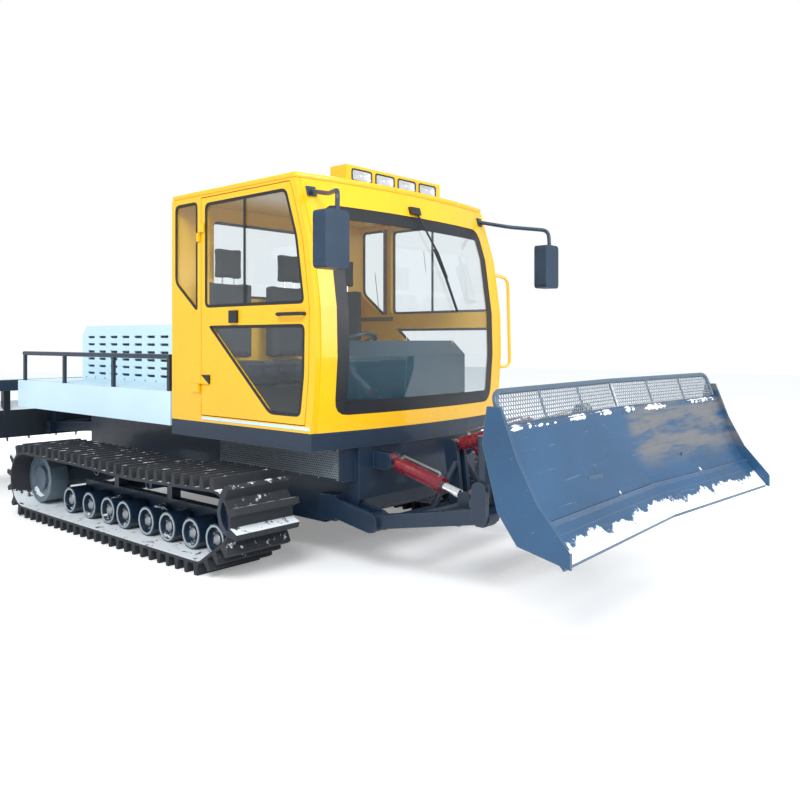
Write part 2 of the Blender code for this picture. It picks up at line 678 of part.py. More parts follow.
def hull():
    body = prism(HULL_OUTLINE, "Y", -HULL_HALF_WIDTH, HULL_HALF_WIDTH)
    shapes = [body]
    for side in (-1, 1):
        shapes += ear_pair(side * ARM_Y, ARM_WIDTH, link_plate((1.55, 0.36), LIFT_PIN, EYE_RADIUS))
        shapes.append(block((1.42, 1.56), sorted((side * 0.55, side * (ARM_Y + ARM_WIDTH / 2 + PIN_GAP + EAR_PLATE))),
                            (0.28, 0.44)))
        shapes += ear_pair(side * LIFT_Y, BASE_EYE_WIDTH, link_plate((1.62, 0.655), (LIFT_BASE[0], LIFT_BASE[1]), 0.05))
        shapes += ear_pair(side * REAR_ARM_Y, ARM_WIDTH, link_plate(REAR_PIN, (-1.55, 0.62), EYE_RADIUS))
        grille_x = (ahead(GRILLE_X[0]), ahead(GRILLE_X[1]))
        y = sorted((side * GRILLE_Y, side * (GRILLE_Y - GRILLE_PLATE)))
        shapes.append(block(grille_x, y, GRILLE_Z))
        for x in grille_x:
            shapes.append(block((x - 0.01, x + 0.01), sorted((side * 0.58, side * GRILLE_Y)), GRILLE_Z))
    shapes += ear_pair(0.0, BASE_EYE_WIDTH, link_plate((REAR_BASE[0], REAR_BASE[1]), (-1.50, 0.36), 0.05))
    node("chassis_hull", "chassis_navy", shapes)


# Running gear


def arc_points(centre_x, centre_z, radius, start, end, steps):
    return [(centre_x + radius * math.cos(start + (end - start) * k / steps),
             centre_z + radius * math.sin(start + (end - start) * k / steps)) for k in range(steps + 1)]


def tangent_angle(first, second, upper):
    """Direction from a circle's centre to where a belt leaves it for the next circle."""
    (x0, z0, r0), (x1, z1, r1) = first, second
    heading = math.atan2(z1 - z0, x1 - x0)
    spread = math.acos((r0 - r1) / math.hypot(x1 - x0, z1 - z0))
    return heading + spread if upper else heading - spread


def belt_route():
    """Inner face of the track, once round, as closely spaced points from the rear of the ground run."""
    wheel_z = BELT_THICKNESS + GROUSER_HEIGHT + WHEEL_RADIUS
    front_wheel = (ahead(WHEEL_POSITIONS[-1]), wheel_z, WHEEL_RADIUS)
    rear_wheel = (ahead(WHEEL_POSITIONS[0]), wheel_z, WHEEL_RADIUS)
    rollers = [(ahead(x), z, ROLLER_RADIUS) for x, z in ROLLERS]
    around = [rear_wheel, front_wheel, IDLER, rollers[1], rollers[0], SPROCKET]
    points = []
    for i, circle in enumerate(around):
        before, after = around[i - 1], around[(i + 1) % len(around)]
        x, z, radius = circle
        arrive = math.atan2(before[1] - z, before[0] - x)
        leave = math.atan2(after[1] - z, after[0] - x)
        enter = arrive + math.acos((radius - before[2]) / math.hypot(before[0] - x, before[1] - z))
        leave -= math.acos((radius - after[2]) / math.hypot(after[0] - x, after[1] - z))
        sweep = (leave - enter) % (2 * math.pi)
        if sweep > 1.9 * math.pi:
            points.append((x + radius * math.cos(enter), z + radius * math.sin(enter)))
            continue
        steps = max(1, round(sweep * radius / 0.02))
        points += arc_points(x, z, radius, enter, enter + sweep, steps)
    return points


def track_outline():
    """Outer and inner loops of one track, with a grouser standing on each pitch."""
    route = belt_route()
    lengths = [0.0]
    closed = route + route[:1]
    for a, b in zip(closed, closed[1:]):
        lengths.append(lengths[-1] + math.dist(a, b))
    total = lengths[-1]
    count = round(total / GROUSER_PITCH)
    pitch = total / count

    def at(distance):
        distance %= total
        i = max(k for k in range(len(route)) if lengths[k] <= distance)
        t = (distance - lengths[i]) / max(lengths[i + 1] - lengths[i], 1e-9)
        (x0, z0), (x1, z1) = closed[i], closed[i + 1]
        return Vector((x0 + (x1 - x0) * t, z0 + (z1 - z0) * t))

    def offset(distance, out):
        along = (at(distance + 0.01) - at(distance - 0.01)).normalized()
        return at(distance) + Vector((along.y, -along.x)) * out

    outer = []
    for k in range(count):
        middle = (k + 0.5) * pitch
        outer.append(offset(middle - GROUSER_FOOT / 2, BELT_THICKNESS))
        outer.append(offset(middle - GROUSER_TIP / 2, BELT_THICKNESS + GROUSER_HEIGHT))
        outer.append(offset(middle + GROUSER_TIP / 2, BELT_THICKNESS + GROUSER_HEIGHT))
        outer.append(offset(middle + GROUSER_FOOT / 2, BELT_THICKNESS))
    return [tuple(p) for p in outer], route


def running_gear():
    outer, inner = track_outline()
    wheel_z = BELT_THICKNESS + GROUSER_HEIGHT + WHEEL_RADIUS
    for name, side in (("right", -1), ("left", 1)):
        y = sorted((side * TRACK_INNER_Y, side * TRACK_OUTER_Y))
        loop = prism(outer, "Y", *y)
        node(f"track_{name}", "track_rubber", [loop], [prism(inner, "Y", y[0] - 0.1, y[1] + 0.1)])
        beam_y = sorted((side * BEAM_Y[0], side * BEAM_Y[1]))
        wheel_y = sorted((side * WHEEL_Y[0], side * WHEEL_Y[1]))
        rear, front = ahead(WHEEL_POSITIONS[0]) - 0.06, ahead(WHEEL_POSITIONS[-1])
        fork = ((rear, BEAM_Z[0]), (front, BEAM_Z[0]), (IDLER[0] + 0.04, IDLER[1] - 0.07), (IDLER[0] + 0.05, IDLER[1] + 0.03),
                (IDLER[0] - 0.03, IDLER[1] + 0.05), (IDLER[0] - 0.14, BEAM_Z[1]), (rear, BEAM_Z[1]))
        beam = prism(fork, "Y", *beam_y)
        shapes = [beam]
        for x in WHEEL_POSITIONS:
            shapes.append(wheel(ahead(x), wheel_z, WHEEL_RADIUS - WHEEL_GAP, side))
        for x, z in ROLLERS:
            shapes.append(wheel(ahead(x), z, ROLLER_RADIUS - 0.003, side))
            shapes.append(block((ahead(x) - 0.03, ahead(x) + 0.03), beam_y, (BEAM_Z[1] - 0.03, z + 0.03)))
        shapes.append(wheel(IDLER[0], IDLER[1], IDLER[2] - 0.006, side))
        for x in CROSS_TUBE_X:
            shapes.append(rod((x, side * (HULL_HALF_WIDTH + SEAT_GAP), CROSS_TUBE_Z),
                              (x, side * (BEAM_Y[0] + 0.02), CROSS_TUBE_Z), CROSS_TUBE_RADIUS, 14))
        node(f"track_frame_{name}", "wheel_grey", shapes)
        sprocket = [wheel(SPROCKET[0], SPROCKET[1], SPROCKET[2] - 0.012, side, inner=side * 0.98),
                    rod((SPROCKET[0], side * (HULL_HALF_WIDTH + SEAT_GAP), SPROCKET[1]),
                        (SPROCKET[0], side * WHEEL_Y[1], SPROCKET[1]), 0.09, 16)]
        node(f"sprocket_{name}", "wheel_grey", sprocket)


def wheel(x, z, radius, side, inner=None):
    """A wheel on its stub axle, which starts in the beam."""
    start = side * (BEAM_Y[0] + 0.01) if inner is None else inner
    width = WHEEL_Y[1] - WHEEL_Y[0]
    dish = min(0.03, radius * 0.3)
    along = abs(side * WHEEL_Y[0] - start)
    profile = ((0, 0), (AXLE_RADIUS, 0), (AXLE_RADIUS, along), (radius, along), (radius, along + width),
               (radius * 0.78, along + width), (radius * 0.72, along + width - dish), (0, along + width - dish))
    return turned(profile, (x, start, z), (0, side, 0), 12)


# Load bed and engine


def load_bed():
    x = (ahead(BED_X[0]), ahead(BED_X[1]))
    wide = CAB_HALF_WIDTH
    deck = block(x, (-wide, wide), (DECK_TOP - DECK_THICKNESS, DECK_TOP))
    shapes = [deck]
    for y in (-wide, wide - BED_WALL):
        shapes.append(block(x, (y, y + BED_WALL), (BED_BOTTOM, DECK_TOP - 0.01)))
    for end in (x[0], x[1] - BED_WALL):
        shapes.append(block((end, end + BED_WALL), (-wide + 0.01, wide - 0.01), (BED_BOTTOM, DECK_TOP - 0.01)))
    for side in (-1, 1):
        tread = sorted((side * (HOOD_HALF_WIDTH + TREAD_MARGIN), side * (wide - 2 * BED_WALL)))
        shapes.append(block((x[0] + TREAD_MARGIN, x[1] - TREAD_MARGIN), tread,
                            (DECK_TOP - 0.01, DECK_TOP + TREAD_PLATE)))
    for y in (-0.45, 0.37):
        shapes.append(block((x[0] + 0.01, x[1] - 0.01), (y, y + 0.08), (BED_BOTTOM, DECK_TOP - 0.01)))
        for middle in (-1.45, -0.65, 0.05):
            shapes.append(block((middle - 0.06, middle + 0.06), (y + 0.005, y + 0.075), (HULL_TOP + SEAT_GAP, BED_BOTTOM + 0.02)))
    opening = block((ahead(ENGINE_X[0]) - 0.04, ahead(ENGINE_X[1]) + 0.04), (-ENGINE_HALF_WIDTH - 0.03, ENGINE_HALF_WIDTH + 0.03),
                    (DECK_TOP - 0.2, DECK_TOP + 0.1))
    node("load_bed", "bed_white", shapes, [opening])
    for name, side in (("right", -1), ("left", 1)):
        y = side * (CAB_HALF_WIDTH - 0.03)
        top = rod((ahead(RAIL_POSTS[0]) - RAIL_RADIUS, y, RAIL_TOP), (ahead(RAIL_POSTS[-1]) + RAIL_RADIUS, y, RAIL_TOP), RAIL_RADIUS)
        posts = [block((ahead(p) - 0.015, ahead(p) + 0.015), (y - 0.012, y + 0.012), (DECK_TOP + SEAT_GAP, RAIL_TOP)) for p in RAIL_POSTS]
        node(f"bed_rail_{name}", "chassis_navy", [top] + posts)


def engine():
    inside = inset(placed(HOOD_OUTLINE), HOOD_WALL)
    inside = [(x, DECK_TOP - 0.05 if z < DECK_TOP + 0.1 else z) for x, z in inside]
    outline = [(x, z + SEAT_GAP if z == DECK_TOP else z) for x, z in placed(HOOD_OUTLINE)]
    shell = prism(outline, "Y", -HOOD_HALF_WIDTH, HOOD_HALF_WIDTH)
    hollow = prism(inside, "Y", -HOOD_HALF_WIDTH + HOOD_WALL, HOOD_HALF_WIDTH - HOOD_WALL)
    node("engine_hood", "bed_white", [shell], [hollow])
    node("engine_block", "bare_steel", [block((ahead(ENGINE_X[0]), ahead(ENGINE_X[1])), (-ENGINE_HALF_WIDTH, ENGINE_HALF_WIDTH),
                                              (HULL_TOP + SEAT_GAP, ENGINE_TOP))])


# Cylinders



def cylinder_table():
    """name, base pin, rod's eye, pin axis, barrel radius, rod radius, barrel length, stroke back, carrier."""
    up, across = (0, 0, 1), (0, 1, 0)
    rows = [("pitch_cylinder", (PITCH_BASE[0], 0, PITCH_BASE[1]), (PITCH_END[0], 0, PITCH_END[1]), across,
             0.045, 0.024, 0.60, 0.14),
            ("rear_cylinder", (REAR_BASE[0], 0, REAR_BASE[1]), (REAR_END[0], 0, REAR_END[1]), across,
             0.045, 0.024, 0.50, 0.12)]
    for name, side in (("right", -1), ("left", 1)):
        rows.append((f"lift_cylinder_{name}", (LIFT_BASE[0], side * LIFT_Y, LIFT_BASE[1]),
                     (LIFT_END[0], side * LIFT_Y, LIFT_END[1]), across, 0.045, 0.026, 0.43, 0.10))
        rows.append((f"angle_cylinder_{name}", (ANGLE_BASE[0], side * ANGLE_BASE[1], ANGLE_Z),
                     (ANGLE_END[0], side * ANGLE_END[1], ANGLE_Z), up, 0.034, 0.018, 0.285, 0.10))
    return rows


def cylinders():
    for name, base, end, pin, barrel_radius, rod_radius, barrel_length, stroke in cylinder_table():
        base, end = Vector(base), Vector(end)
        reach = (end - base).length
        along = (end - base).normalized()
        pivot(f"{name}_barrel", base)
        pivot(f"{name}_rod", end)
        bore = rod_radius + BORE_GAP
        gland = barrel_radius * 1.12
        profile = ((0, 0.02), (NECK_RADIUS, 0.02), (NECK_RADIUS, NECK_END - 0.01), (barrel_radius, NECK_END),
                   (barrel_radius, barrel_length - 0.03), (gland, barrel_length - 0.03), (gland, barrel_length),
                   (bore, barrel_length), (bore, NECK_END + 0.02), (0, NECK_END + 0.02))
        node(f"{name}_barrel", "cylinder_red",
             [turned(profile, base, along, 16), disc(base, pin, BASE_EYE_RADIUS, BASE_EYE_WIDTH, 16)],
             body=f"{name}_barrel")
        tail = NECK_END + 0.02 + stroke + 0.01
        shaft = turned(((0, tail), (rod_radius, tail), (rod_radius, reach - 0.06), (ROD_NECK, reach - 0.05),
                        (ROD_NECK, reach - 0.01), (0, reach - 0.01)), base, along, 14)
        node(f"{name}_rod", "rod_chrome", [shaft, disc(end, pin, ROD_EYE_RADIUS, ROD_EYE_WIDTH, 16)],
             body=f"{name}_rod")


# Front tool


def push_frame():
    pivot("push_frame", (LIFT_PIN[0], 0, LIFT_PIN[1]))
    shapes = []
    for side in (-1, 1):
        y = (side * ARM_Y - ARM_WIDTH / 2, side * ARM_Y + ARM_WIDTH / 2)
        shapes.append(prism(link_plate(LIFT_PIN, PITCH_PIN, ARM_HALF_HEIGHT), "Y", *y))
        for x, z in (LIFT_PIN, PITCH_PIN):
            shapes.append(disc((x, side * ARM_Y, z), (0, 1, 0), EYE_RADIUS - 0.004, ARM_WIDTH))
        shapes += ear_pair(side * LIFT_Y, ROD_EYE_WIDTH, link_plate((2.40, 0.40), LIFT_END, 0.04), EYE_GAP, 0.02)
    shapes.append(block((2.33, 2.47), (-ARM_Y, ARM_Y), (0.375, 0.445)))
    shapes.append(block((1.99, 2.07), (-ARM_Y, ARM_Y), (0.31, 0.375)))
    mast = link_plate((2.03, 0.36), PITCH_BASE, 0.05)
    shapes += ear_pair(0.0, BASE_EYE_WIDTH, mast)
    shapes += [rod((2.03, side * 0.30, 0.35), (2.02, side * 0.045, 0.62), 0.02) for side in (-1, 1)]
    node("push_frame", "chassis_navy", shapes, body="push_frame")


def blade_carrier():
    pivot("blade_carrier", (PITCH_PIN[0], 0, PITCH_PIN[1]))
    x, z = PITCH_PIN
    plate = block((x - 0.05, x + 0.03), (-0.56, 0.56), (z + 0.09, 0.82))
    shapes = [plate]
    for side in (-1, 1):
        shapes += ear_pair(side * ARM_Y, ARM_WIDTH, link_plate((x, z), (x, z + 0.14), 0.05))
        shapes.append(block((x - 0.045, x + 0.025), sorted((side * 0.50, side * 0.66)), (z + 0.10, z + 0.17)))
        shapes.append(rod((x - 0.01, side * ARM_Y, z + 0.15), (x - 0.01, side * ARM_Y, 0.89), 0.035, 16))
        shapes.append(block((x - 0.04, x + 0.02), sorted((side * 0.50, side * 0.60)), (0.74, 0.80)))
        base_y = side * ANGLE_BASE[1]
        for low in (ANGLE_Z - BASE_EYE_WIDTH / 2 - PIN_GAP - 0.02, ANGLE_Z + BASE_EYE_WIDTH / 2 + PIN_GAP):
            shapes.append(block((x + 0.02, ANGLE_BASE[0] + 0.03), (base_y - 0.05, base_y + 0.05), (low, low + 0.02)))
    fork = ((x, -0.30), (KING_PIN_X + 0.03, -0.07), (KING_PIN_X + 0.07, 0.0), (KING_PIN_X + 0.03, 0.07), (x, 0.30))
    for low, high in ((SLEEVE_Z[0] - PIN_GAP - 0.035, SLEEVE_Z[0] - PIN_GAP), (SLEEVE_Z[1] + PIN_GAP, SLEEVE_Z[1] + PIN_GAP + 0.035)):
        shapes.append(prism(fork, "Z", low, high))
    shapes.append(block((x, x + 0.16), (-0.05, 0.05), (SLEEVE_Z[0] - 0.02, SLEEVE_Z[1] + 0.02)))
    ears = link_plate((2.86, SLEEVE_Z[1] + 0.05), PITCH_END, 0.04)
    shapes += ear_pair(0.0, ROD_EYE_WIDTH, ears, EYE_GAP, 0.02)
    node("blade_carrier", "chassis_navy", shapes, body="blade_carrier")


def blade_x(x, y):
    """World x of a point of the blade's end profile, carried to a place across the V."""
    return ahead(x) - BLADE_V * (1 - abs(y) / BLADE_HALF_WIDTH)


def v_loft(outline, half_width=BLADE_HALF_WIDTH):
    """An end profile carried across the shallow V of the blade."""
    return loft([[(blade_x(x, y), y, z) for x, z in outline] for y in (-half_width, 0.0, half_width)])


def blade():
    pivot("blade", (KING_PIN_X, 0, (SLEEVE_Z[0] + SLEEVE_Z[1]) / 2))
    back = [(x - BLADE_PLATE, z) for x, z in reversed(BLADE_FRONT)]
    board = v_loft(list(BLADE_FRONT) + back)
    foot_x, foot_z = BLADE_FRONT[-1]
    shapes = [board]
    for x, z in ((1.47, 0.99), (1.66, 0.60)):
        shapes.append(v_loft(((x, z - 0.035), (x + 0.06, z - 0.035), (x + 0.06, z + 0.035), (x, z + 0.035)), BLADE_HALF_WIDTH - 0.01))
    end_plate = placed(((1.445, 1.115), (1.515, 1.115), (1.60, 0.90), (1.70, 0.72), (1.855, 0.545), (1.855, 0.475),
                        (1.60, 0.53), (1.50, 0.66), (1.42, 0.95)))
    for side in (-1, 1):
        y = sorted((side * BLADE_HALF_WIDTH, side * (BLADE_HALF_WIDTH - 0.015)))
        shapes.append(prism(end_plate, "Y", *y))
        for y in (0.30, 0.62, 0.94):
            rib = [(blade_x(a, y), b) for a, b in ((1.519, 1.0), (1.58, 0.85), (1.63, 0.72), (1.72, 0.60), (1.64, 0.60), (1.50, 0.80), (1.46, 0.95))]
            shapes.append(prism(rib, "Y", *sorted((side * y - 0.008, side * y + 0.008))))
        for low in (ANGLE_Z - 0.02 - EYE_GAP - 0.02, ANGLE_Z + 0.02 + EYE_GAP):
            plan = ((ANGLE_END[0] - 0.035, side * (ANGLE_END[1] - 0.035)), (ANGLE_END[0] - 0.035, side * (ANGLE_END[1] + 0.035)),
                    (3.28, side * (ANGLE_END[1] + 0.07)), (3.28, side * (ANGLE_END[1] - 0.07)))
            shapes.append(prism(plan, "Z", low, low + 0.02))
    sleeve = rod((KING_PIN_X, 0, SLEEVE_Z[0]), (KING_PIN_X, 0, SLEEVE_Z[1]), SLEEVE_RADIUS, 20)
    bracket = block((KING_PIN_X, blade_x(1.62, 0) - 0.0), (-0.04, 0.04), (SLEEVE_Z[0] + 0.02, SLEEVE_Z[1] - 0.02))
    shapes += [sleeve, bracket]
    edge = ((foot_x - 0.045, foot_z + 0.02), (foot_x - 0.02, foot_z + 0.03), (foot_x + CUTTING_EDGE[0] - 0.02, foot_z + CUTTING_EDGE[1] + 0.02),
            (foot_x + CUTTING_EDGE[0] - 0.03, foot_z + CUTTING_EDGE[1]))
    shapes.append(v_loft(edge))
    node("blade", "blade_blue", shapes, body="blade")
    blade_screen()


def blade_screen():
    """Guard above the mouldboard: uprights, a middle wire and a round top rail."""
    low_x, low_z = BLADE_FRONT[0]
    shapes = []
    top = (1.455, low_z + SCREEN_MESH_HEIGHT)
    wide = BLADE_HALF_WIDTH - 0.03
    rail = [(blade_x(top[0], y), y, top[1]) for y in (-wide, 0.0, wide)]
    shapes.append(tube(rail, 0.014))
    count = 24
    for i in range(count + 1):
        y = wide * (2 * i / count - 1)
        y = max(-wide + 0.006, min(wide - 0.006, y))
        foot, head = blade_x(SCREEN_FOOT, y), blade_x(top[0], y)
        shapes.append(loft([[(x + a, y + b, z) for a, b in ((-0.005, -0.005), (0.005, -0.005), (0.005, 0.005), (-0.005, 0.005))]
                            for x, z in ((foot, low_z + SEAT_GAP), (head, top[1]))]))
    node("blade_screen", "blade_blue", shapes, body="blade")


# Rear tool


def rear_tool():
    pivot("rear_lift", (REAR_PIN[0], 0, REAR_PIN[1]))
    shapes = []
    end = (-2.57, 0.56)
    for side in (-1, 1):
        y = (side * REAR_ARM_Y - ARM_WIDTH / 2, side * REAR_ARM_Y + ARM_WIDTH / 2)
        shapes.append(prism(link_plate(REAR_PIN, end, ARM_HALF_HEIGHT), "Y", *y))
        shapes.append(disc((REAR_PIN[0], side * REAR_ARM_Y, REAR_PIN[1]), (0, 1, 0), EYE_RADIUS - 0.004, ARM_WIDTH))
        shapes.append(block((-2.62, -2.54), sorted((side * 0.41, side * 0.49)), (0.54, 1.00)))
    shapes.append(block((-2.61, -2.53), (-0.55, 0.55), (0.51, 0.61)))
    shapes.append(block((-2.655, -2.535), (-1.10, 1.10), (0.93, 1.03)))
    shapes += ear_pair(0.0, ROD_EYE_WIDTH, link_plate((-2.58, 0.545), REAR_END, 0.04), EYE_GAP, 0.02)
    node("rear_frame", "chassis_navy", shapes, body="rear_lift")
    outline = list(TILLER_OUTLINE)
    shell = prism(outline, "Y", -TILLER_HALF_WIDTH, TILLER_HALF_WIDTH)
    inside = inset(outline, HOOD_PLATE)
    inside = [(x, z - 0.08 if z < 0.56 else z) for x, z in inside]
    hollow = prism(inside, "Y", -TILLER_HALF_WIDTH + HOOD_PLATE, TILLER_HALF_WIDTH - HOOD_PLATE)
    brackets = [block((-2.72, -2.655 - SEAT_GAP), (y - 0.03, y + 0.03), (0.70, 1.00)) for y in (-0.9, -0.3, 0.3, 0.9)]
    node("tiller_hood", "bed_white", [shell] + brackets, [hollow], body="rear_lift")
    pivot("tiller_rotor", (ROTOR[0], 0, ROTOR[1]))
    wide = TILLER_HALF_WIDTH - HOOD_PLATE - PIN_GAP
    drum = rod((ROTOR[0], -wide + 0.03, ROTOR[1]), (ROTOR[0], wide - 0.03, ROTOR[1]), ROTOR_TUBE, 16)
    shaft = rod((ROTOR[0], -wide, ROTOR[1]), (ROTOR[0], wide, ROTOR[1]), 0.035, 12)
    teeth = []
    rows, per_row = 4, 12
    for row in range(rows):
        for k in range(per_row):
            y = (2 * (k + row / rows + 0.1) / per_row - 1) * (wide - 0.08)
            angle = 2 * math.pi * (row / rows + k / 24) + 0.07
            out = Vector((math.cos(angle), 0, math.sin(angle)))
            start = Vector((ROTOR[0], y, ROTOR[1])) + out * (ROTOR_TUBE - 0.02)
            end_point = Vector((ROTOR[0], y, ROTOR[1])) + out * ROTOR_REACH
            teeth.append(turned(((0, 0), (0.018, 0), (0.009, (end_point - start).length), (0, (end_point - start).length)), start, out, 5))
    node("tiller_rotor", "bare_steel", [drum, shaft] + teeth, body="tiller_rotor")
    flap()


def flap():
    """The trailing comb: a sheet whose rear edge is cut into prongs."""
    prongs = 42
    front = TILLER_OUTLINE[-2][0] - SEAT_GAP
    root = FLAP_REAR_X + 0.14
    pitch = 2 * TILLER_HALF_WIDTH / prongs
    plan = [(front, -TILLER_HALF_WIDTH), (front, TILLER_HALF_WIDTH)]
    for k in range(prongs):
        y = TILLER_HALF_WIDTH - k * pitch
        plan += [(FLAP_REAR_X, y), (FLAP_REAR_X, y - pitch * 0.55), (root, y - pitch * 0.62), (root, y - pitch * 0.95)]
    slope = (FLAP_FRONT_Z - FLAP_REAR_Z) / (front - FLAP_REAR_X)
    def height(x):
        return FLAP_REAR_Z + (x - FLAP_REAR_X) * slope
    sheet = loft([[(x, y, height(x) + lift) for x, y in plan] for lift in (0.0, FLAP_THICKNESS)])
    node("tiller_comb", "black_plastic", [sheet], body="rear_lift")


def build():
    clear_scene()
    make_materials()
    cab_front()
    cab_floor_and_roof()
    cab_rear()
    cab_sides()
    door("right", -1)
    door("left", 1)
    roof_lamps()
    mirrors()
    wipers()
    interior()
    hull()
    running_gear()
    load_bed()
    engine()
    cylinders()
    push_frame()
    blade_carrier()
    blade()
    rear_tool()


build()
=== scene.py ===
# %% [markdown]
# # Dressing a snow groomer
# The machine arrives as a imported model: one mesh for each sub-part, already in its place, with a body for
# everything that moves. This lesson gives it its looks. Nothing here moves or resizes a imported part: each
# surface gets a material worked out from nodes, and the small things that a maker bolts, clips, glues or
# sprays on afterwards are modelled around it.

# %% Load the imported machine
import math
import random

import bmesh
import bpy
from mathutils import Matrix, Vector
from mathutils import noise as surface_noise
from mathutils.bvhtree import BVHTree


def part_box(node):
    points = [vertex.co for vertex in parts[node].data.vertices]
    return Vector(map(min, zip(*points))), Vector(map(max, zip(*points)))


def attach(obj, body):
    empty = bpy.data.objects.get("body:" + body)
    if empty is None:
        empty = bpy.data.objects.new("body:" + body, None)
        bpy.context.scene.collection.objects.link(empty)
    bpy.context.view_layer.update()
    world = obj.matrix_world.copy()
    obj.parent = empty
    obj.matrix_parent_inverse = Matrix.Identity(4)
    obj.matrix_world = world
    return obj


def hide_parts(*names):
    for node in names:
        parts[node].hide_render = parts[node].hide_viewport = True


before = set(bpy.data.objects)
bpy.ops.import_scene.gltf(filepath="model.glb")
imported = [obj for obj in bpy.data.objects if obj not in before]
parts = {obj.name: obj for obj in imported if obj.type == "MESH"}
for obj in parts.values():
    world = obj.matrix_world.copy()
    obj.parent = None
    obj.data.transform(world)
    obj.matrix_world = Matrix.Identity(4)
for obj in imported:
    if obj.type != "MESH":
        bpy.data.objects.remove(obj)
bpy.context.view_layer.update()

# %% [markdown]
# ## The camera comes first
# A photograph fixes where its camera stood: lines that are level on the machine meet at the horizon, and
# the two directions of the cab meet at two points on it. The camera stands level at about eye height, off
# the right front corner. The horizon lies above the middle of the frame, which a view camera does by
# sliding its film, and Blender does with the lens shift.

# %% Camera
CAMERA_PLACE = (5.164, -4.134, 1.404)
CAMERA_HEADING = 41.5  # degrees from straight across the machine towards straight back along it
LENS = 36.2  # on a 36 mm film
SHIFT = -0.075

camera_data = bpy.data.cameras.new("photo_camera")
camera_data.lens = LENS
camera_data.sensor_width = 36
camera_data.shift_y = SHIFT
camera_data.clip_start = 0.05
camera_data.clip_end = 300
camera = bpy.data.objects.new("photo_camera", camera_data)
camera.location = CAMERA_PLACE
camera.rotation_euler = (math.radians(90), 0, math.radians(CAMERA_HEADING))
bpy.context.scene.collection.objects.link(camera)
bpy.context.scene.camera = camera
print("camera stands", round(Vector(CAMERA_PLACE).length, 2), "m from the middle of the machine")

# %% [markdown]
# ## A pale studio
# A white room shows every colour as it was mixed. The sky is a plain light grey for the light that it
# gives, and white where the camera or a pane sees it. The floor is white and keeps the machine's
# shadow. Three broad lamps model the forms: one high in front, a weaker one from the left and one behind.

# %% Floor, sky and lamps
SKY_LEVEL = 0.80
FLOOR_SIZE = 60
FLOOR_GLOW = 0.25  # lifts the lit floor to white for the camera alone and keeps the shadow
# name, place, aim, size, watts
LAMPS = (
    ("key", (5.5, -8.0, 8.5), (0.5, 0.0, 0.8), 5.0, 900),
    ("front", (10.0, 1.0, 4.0), (2.0, 0.0, 0.8), 5.0, 420),
    ("back", (-7.0, 6.0, 6.5), (0.0, 0.0, 1.0), 5.0, 420),
)

bpy.context.scene.view_settings.view_transform = "Standard"
world = bpy.data.worlds.new("sky")
bpy.context.scene.world = world
world.use_nodes = True
sky = world.node_tree
sky.nodes.clear()
sky_out = sky.nodes.new("ShaderNodeOutputWorld")
sky_seen = sky.nodes.new("ShaderNodeBackground")
sky_seen.inputs["Color"].default_value = (1, 1, 1, 1)
sky_seen.inputs["Strength"].default_value = 1.0
sky_light = sky.nodes.new("ShaderNodeBackground")
sky_light.inputs["Color"].default_value = (0.93, 0.97, 1.0, 1)
sky_light.inputs["Strength"].default_value = SKY_LEVEL
sky_mix = sky.nodes.new("ShaderNodeMixShader")
ray = sky.nodes.new("ShaderNodeLightPath")
first = sky.nodes.new("ShaderNodeMath")
first.operation = "MAXIMUM"
sky.links.new(ray.outputs["Is Camera Ray"], first.inputs[0])
sky.links.new(ray.outputs["Is Transmission Ray"], first.inputs[1])
sky.links.new(first.outputs[0], sky_mix.inputs[0])
sky.links.new(sky_light.outputs[0], sky_mix.inputs[1])
sky.links.new(sky_seen.outputs[0], sky_mix.inputs[2])
sky.links.new(sky_mix.outputs[0], sky_out.inputs[0])

floor_mesh = bpy.data.meshes.new("floor")
half_floor = FLOOR_SIZE / 2
floor_mesh.from_pydata([(-half_floor, -half_floor, 0), (half_floor, -half_floor, 0),
                        (half_floor, half_floor, 0), (-half_floor, half_floor, 0)], [], [(0, 1, 2, 3)])
floor = bpy.data.objects.new("floor", floor_mesh)
bpy.context.scene.collection.objects.link(floor)
floor_paint = bpy.data.materials.new("floor_white")
floor_paint.use_nodes = True
floor_shader = floor_paint.node_tree.nodes["Principled BSDF"]
floor_shader.inputs["Base Color"].default_value = (0.92, 0.93, 0.94, 1)
floor_shader.inputs["Roughness"].default_value = 0.9
floor_shader.inputs["Specular IOR Level"].default_value = 0.1
floor_nodes = floor_paint.node_tree
floor_ray = floor_nodes.nodes.new("ShaderNodeLightPath")
floor_glow = floor_nodes.nodes.new("ShaderNodeMath")
floor_glow.operation = "MULTIPLY"
floor_glow.inputs[1].default_value = FLOOR_GLOW
floor_nodes.links.new(floor_ray.outputs["Is Camera Ray"], floor_glow.inputs[0])
floor_nodes.links.new(floor_glow.outputs[0], floor_shader.inputs["Emission Strength"])
floor_shader.inputs["Emission Color"].default_value = (1, 1, 1, 1)
floor_mesh.materials.append(floor_paint)

for name, place, aim, lamp_size, watts in LAMPS:
    light = bpy.data.lights.new(name, "AREA")
    light.size = lamp_size
    light.energy = watts
    lamp = bpy.data.objects.new(name, light)
    lamp.location = place
    lamp.rotation_euler = (Vector(aim) - Vector(place)).to_track_quat("-Z", "Y").to_euler()
    bpy.context.scene.collection.objects.link(lamp)
print(len(LAMPS), "lamps and a sky at", SKY_LEVEL)

# %% [markdown]
# ## Shader groups: the effects that many finishes share
# Paint that is never quite even, metal that shows at worn edges, snow that cakes on whatever faces up or
# runs near the ground: these are the same on every part, only with other amounts. Each is built once as a
# node group with named inputs, and each material places it with its own values.

